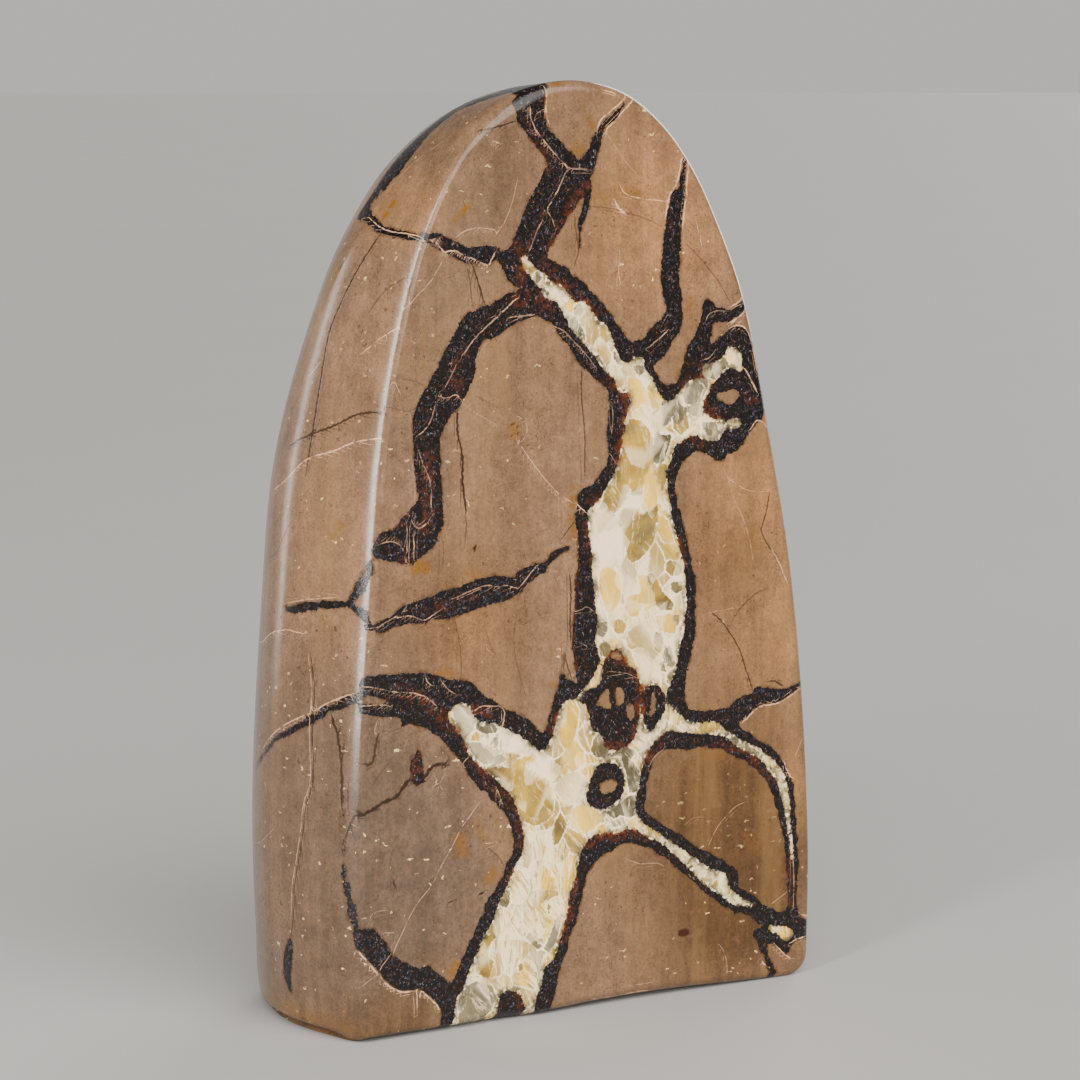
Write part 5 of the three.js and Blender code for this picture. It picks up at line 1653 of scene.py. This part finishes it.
class NoduleStoneSettings(bpy.types.PropertyGroup):
    """Colours of the stone."""

    rock_tan: colour_property("Rock", "Main colour of the rock", "7a5c44")
    rock_brown: colour_property("Brown rock", "Rock of the rounded piece low on the right", "50371d")
    # Grey rock is also painted shade on the left and low down, and pale rock painted light towards the upper
    # right.
    rock_grey_and_shade: colour_property("Grey rock", "Rock of the left side", "5e4b3b")
    rock_pale_and_light: colour_property("Pale rock", "Rock along the right edge", "986c44")
    rock_gold: colour_property("Golden rock", "Warm drifts in the rock", "7f6038")
    rock_rose: colour_property("Rosy rock", "Faint pinkish mottling of the rock", "805942")
    ochre: colour_property("Ochre", "Stains beside the veins", "744c10")
    halo_brown: colour_property("Vein halo", "Rock right beside a vein", "452b0f")
    shell_white: colour_property("Shell flecks", "Small pale flecks in the rock", "f0cd8c")
    speck_brown: colour_property("Specks", "Small dark pits in the rock", "3b2918")
    spot_brown: colour_property("Brown spots", "Few larger spots in the rock", "331602")
    crack_brown: colour_property("Cracks", "Hairlines in the rock", "28180a")
    line_white: colour_property("Pale lines", "Thin calcite lines", "e4b38c")
    rim_black: colour_property("Rim, dark", "Darkest grains of the rims", "060302")
    rim_brown: colour_property("Rim, brown", "Brown grains of the rims", "2a1209")
    rim_blue: colour_property("Rim, blue", "Bluish grains of the rims", "33323f")
    rust: colour_property("Rust", "Red-brown grains of the rims", "481c05")
    spark_grey: colour_property("Sparks, grey", "Grey sparks of the rims", "8a8692")
    spark_pink: colour_property("Sparks, pink", "Pinkish sparks of the rims", "927362")
    amber: colour_property("Amber glow", "Rusty rim beside the filling", "662d08")
    calcite_white: colour_property("White calcite", "White parts of the filling", "ffe8bc")
    calcite_cream: colour_property("Cream calcite", "Cream parts of the filling", "f0be3c")
    calcite_grey: colour_property("Grey calcite", "Grey parts of the filling", "6c6650")
    khaki: colour_property("Khaki crystals", "Darker khaki crystals", "634f22")
    khaki_light: colour_property("Light khaki crystals", "Lighter khaki crystals", "a08034")
    olive: colour_property("Olive crystals", "Dark olive crystals", "3f3823")


class NoduleStageSettings(bpy.types.PropertyGroup):
    """Floor, lights and camera."""

    floor_radius: bpy.props.FloatProperty(
        name="Floor radius", description="Radius of the round floor", default=30.0, min=1, unit="LENGTH")
    floor_colour: colour_property("Floor", "Colour of the floor", "a5a3a1")
    air_strength: bpy.props.FloatProperty(
        name="Air", description="Strength of the even light all round", default=0.58, min=0)
    key_strength: bpy.props.FloatProperty(
        name="Key light", description="Strength of the broad light from the front", default=5.7, min=0)
    fill_strength: bpy.props.FloatProperty(
        name="Fill light", description="Strength of the broad light from behind", default=2.2, min=0)
    side_power: bpy.props.FloatProperty(
        name="Side light", description="Power of the tall light on the left", default=6.4, min=0,
        unit="POWER")
    back_power: bpy.props.FloatProperty(
        name="Back light", description="Power of the slim light behind on the left", default=2.4, min=0,
        unit="POWER")


# ---- The stage ------------------------------------------------------------------------------------

LAMP_WHITE = (1.0, 0.975, 0.94)
AIR_WHITE = (1.0, 0.98, 0.95, 1.0)
AIR_ABOVE = 0.25  # the even light straight up, against that at eye level
AIR_AHEAD = 0.08  # the same for the part of the room that the front mirrors to the camera
MIRRORED = (0.5, -0.87, 0.0)  # the direction of that part
FLOOR_CORNERS = 96
SENSOR = 36.0  # the camera sensor's width, in mm
FRAME_SIDE = 1080  # the picture's side, in pixels
CAMERA_REACH = 3400  # the camera's focal length, in pixels
CAMERA_DIP = math.atan(480 / CAMERA_REACH)  # the horizon is that many pixels above the middle
CAMERA_HEADING = math.radians(30)
CAMERA_PLACE = (-513.68, -898.3, 285.6)  # in mm


# ---- Operators ------------------------------------------------------------------------------------


class NODULE_OT_stone(bpy.types.Operator):
    """Build the polished stone with its pattern and its material"""

    bl_idname = "nodule.stone"
    bl_label = "Build Stone"
    bl_options = {"REGISTER", "UNDO"}

    def execute(self, context):
        points, faces, joints, charts = stone_skin()
        fields = stone_fields(points, charts)
        points = chipped(points, charts)
        mesh = bpy.data.meshes.new("polished_stone")
        polygons = [face for part in faces for face in part.tolist()] + joints.tolist()
        mesh.from_pydata((points * MM).tolist(), [], polygons)
        mesh.shade_smooth()
        for name, values in fields.items():
            set_field(mesh, name, values)
        mesh.update()
        if mesh.validate():
            raise RuntimeError("the stone's mesh had faults")
        stone = bpy.data.objects.new("polished_stone", mesh)
        context.scene.collection.objects.link(stone)
        mesh.materials.append(stone_material(context.scene.nodule_stone))
        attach(stone, "root")
        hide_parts(NODE)
        return {"FINISHED"}


def sun_light(collection, name, toward, angle, strength):
    """A broad far light that shines from a direction, with its apparent size in degrees."""
    light = bpy.data.lights.new(name, "SUN")
    light.energy = strength
    light.angle = math.radians(angle)
    light.color = LAMP_WHITE
    made = bpy.data.objects.new(name, light)
    flat = math.hypot(toward[0], toward[1])
    made.rotation_euler = (math.atan2(flat, toward[2]), 0, math.atan2(toward[0], -toward[1]))
    collection.objects.link(made)


def area_light(collection, name, place, target, size, power):
    """A rectangular soft light at a place, aimed at a target, all in metres."""
    light = bpy.data.lights.new(name, "AREA")
    light.shape = "RECTANGLE"
    light.size, light.size_y = size
    light.energy = power
    light.color = LAMP_WHITE
    made = bpy.data.objects.new(name, light)
    toward = np.subtract(target, place)
    flat = math.hypot(toward[0], toward[1])
    made.rotation_euler = (math.atan2(flat, -toward[2]), 0, math.atan2(-toward[0], toward[1]))
    made.location = place
    collection.objects.link(made)


class NODULE_OT_stage(bpy.types.Operator):
    """Build the floor, the lights and the camera"""

    bl_idname = "nodule.stage"
    bl_label = "Build Stage"
    bl_options = {"REGISTER", "UNDO"}

    def execute(self, context):
        settings = context.scene.nodule_stage
        collection = context.scene.collection
        angle = np.linspace(0, 2 * math.pi, FLOOR_CORNERS, endpoint=False)
        ring = settings.floor_radius * np.stack([np.cos(angle), np.sin(angle), 0 * angle], axis=1)
        mesh = bpy.data.meshes.new("studio_floor")
        mesh.from_pydata(ring.tolist(), [], [list(range(len(ring)))])
        mesh.materials.append(floor_material(settings.floor_colour))
        floor = bpy.data.objects.new("studio_floor", mesh)
        collection.objects.link(floor)

        world = context.scene.world or bpy.data.worlds.new("studio_air")
        context.scene.world = world
        world.use_nodes = True
        background = world.node_tree.nodes["Background"]
        background.inputs["Color"].default_value = AIR_WHITE
        air = Recipe(world.node_tree)
        heading = air.node("ShaderNodeTexCoord").outputs["Generated"]
        above = settings.air_strength * AIR_ABOVE
        strength = air.ramp(air.parts(heading)[2], 0.02, 0.5, settings.air_strength, above)
        ahead = air.vector("DOT_PRODUCT", heading, MIRRORED, output="Value")
        strength = air.times(strength, air.ramp(ahead, 0.25, 0.88, 1.0, AIR_AHEAD))
        world.node_tree.links.new(strength, background.inputs["Strength"])

        sun_light(collection, "key_light", (-0.05, -0.8, 0.6), 70, settings.key_strength)
        sun_light(collection, "fill_light", (0.8, 0.5, 0.25), 40, settings.fill_strength)
        area_light(
            collection, "side_light", (-0.6, -0.36, 0.37), (0, 0, 0.37), (0.09, 0.7), settings.side_power)
        area_light(
            collection, "back_light", (-0.8, 1.06, 0.35), (0, 0, 0.14), (0.14, 0.7), settings.back_power)

        camera = bpy.data.cameras.new("studio_camera")
        camera.sensor_width = SENSOR
        camera.lens = SENSOR * CAMERA_REACH / FRAME_SIDE
        camera.clip_start, camera.clip_end = 0.05, 30.0
        made = bpy.data.objects.new("studio_camera", camera)
        made.location = [part * MM for part in CAMERA_PLACE]
        made.rotation_euler = (math.pi / 2 - CAMERA_DIP, 0, -CAMERA_HEADING)
        collection.objects.link(made)
        context.scene.camera = made
        return {"FINISHED"}


class NODULE_PT_panel(bpy.types.Panel):
    """The nodule's pieces and their settings"""

    bl_idname = "NODULE_PT_panel"
    bl_label = "Septarian Nodule"
    bl_space_type = "VIEW_3D"
    bl_region_type = "UI"
    bl_category = "Nodule"

    def draw(self, context):
        layout = self.layout
        for operator, group in ((NODULE_OT_stone, "nodule_stone"), (NODULE_OT_stage, "nodule_stage")):
            box = layout.box()
            box.operator(operator.bl_idname)
            settings = getattr(context.scene, group)
            for name in settings.__annotations__:
                box.prop(settings, name)


CLASSES = (NoduleStoneSettings, NoduleStageSettings, NODULE_OT_stone, NODULE_OT_stage, NODULE_PT_panel)


def register():
    """Registers the classes and hangs the settings on the scene."""
    for kind in CLASSES:
        bpy.utils.register_class(kind)
    bpy.types.Scene.nodule_stone = bpy.props.PointerProperty(type=NoduleStoneSettings)
    bpy.types.Scene.nodule_stage = bpy.props.PointerProperty(type=NoduleStageSettings)


def unregister():
    """Takes away what register added."""
    del bpy.types.Scene.nodule_stage
    del bpy.types.Scene.nodule_stone
    for kind in reversed(CLASSES):
        bpy.utils.unregister_class(kind)


def main():
    """Builds everything in order."""
    register()
    bpy.ops.nodule.stage()
    bpy.ops.nodule.stone()


if __name__ == "__main__":
    main()
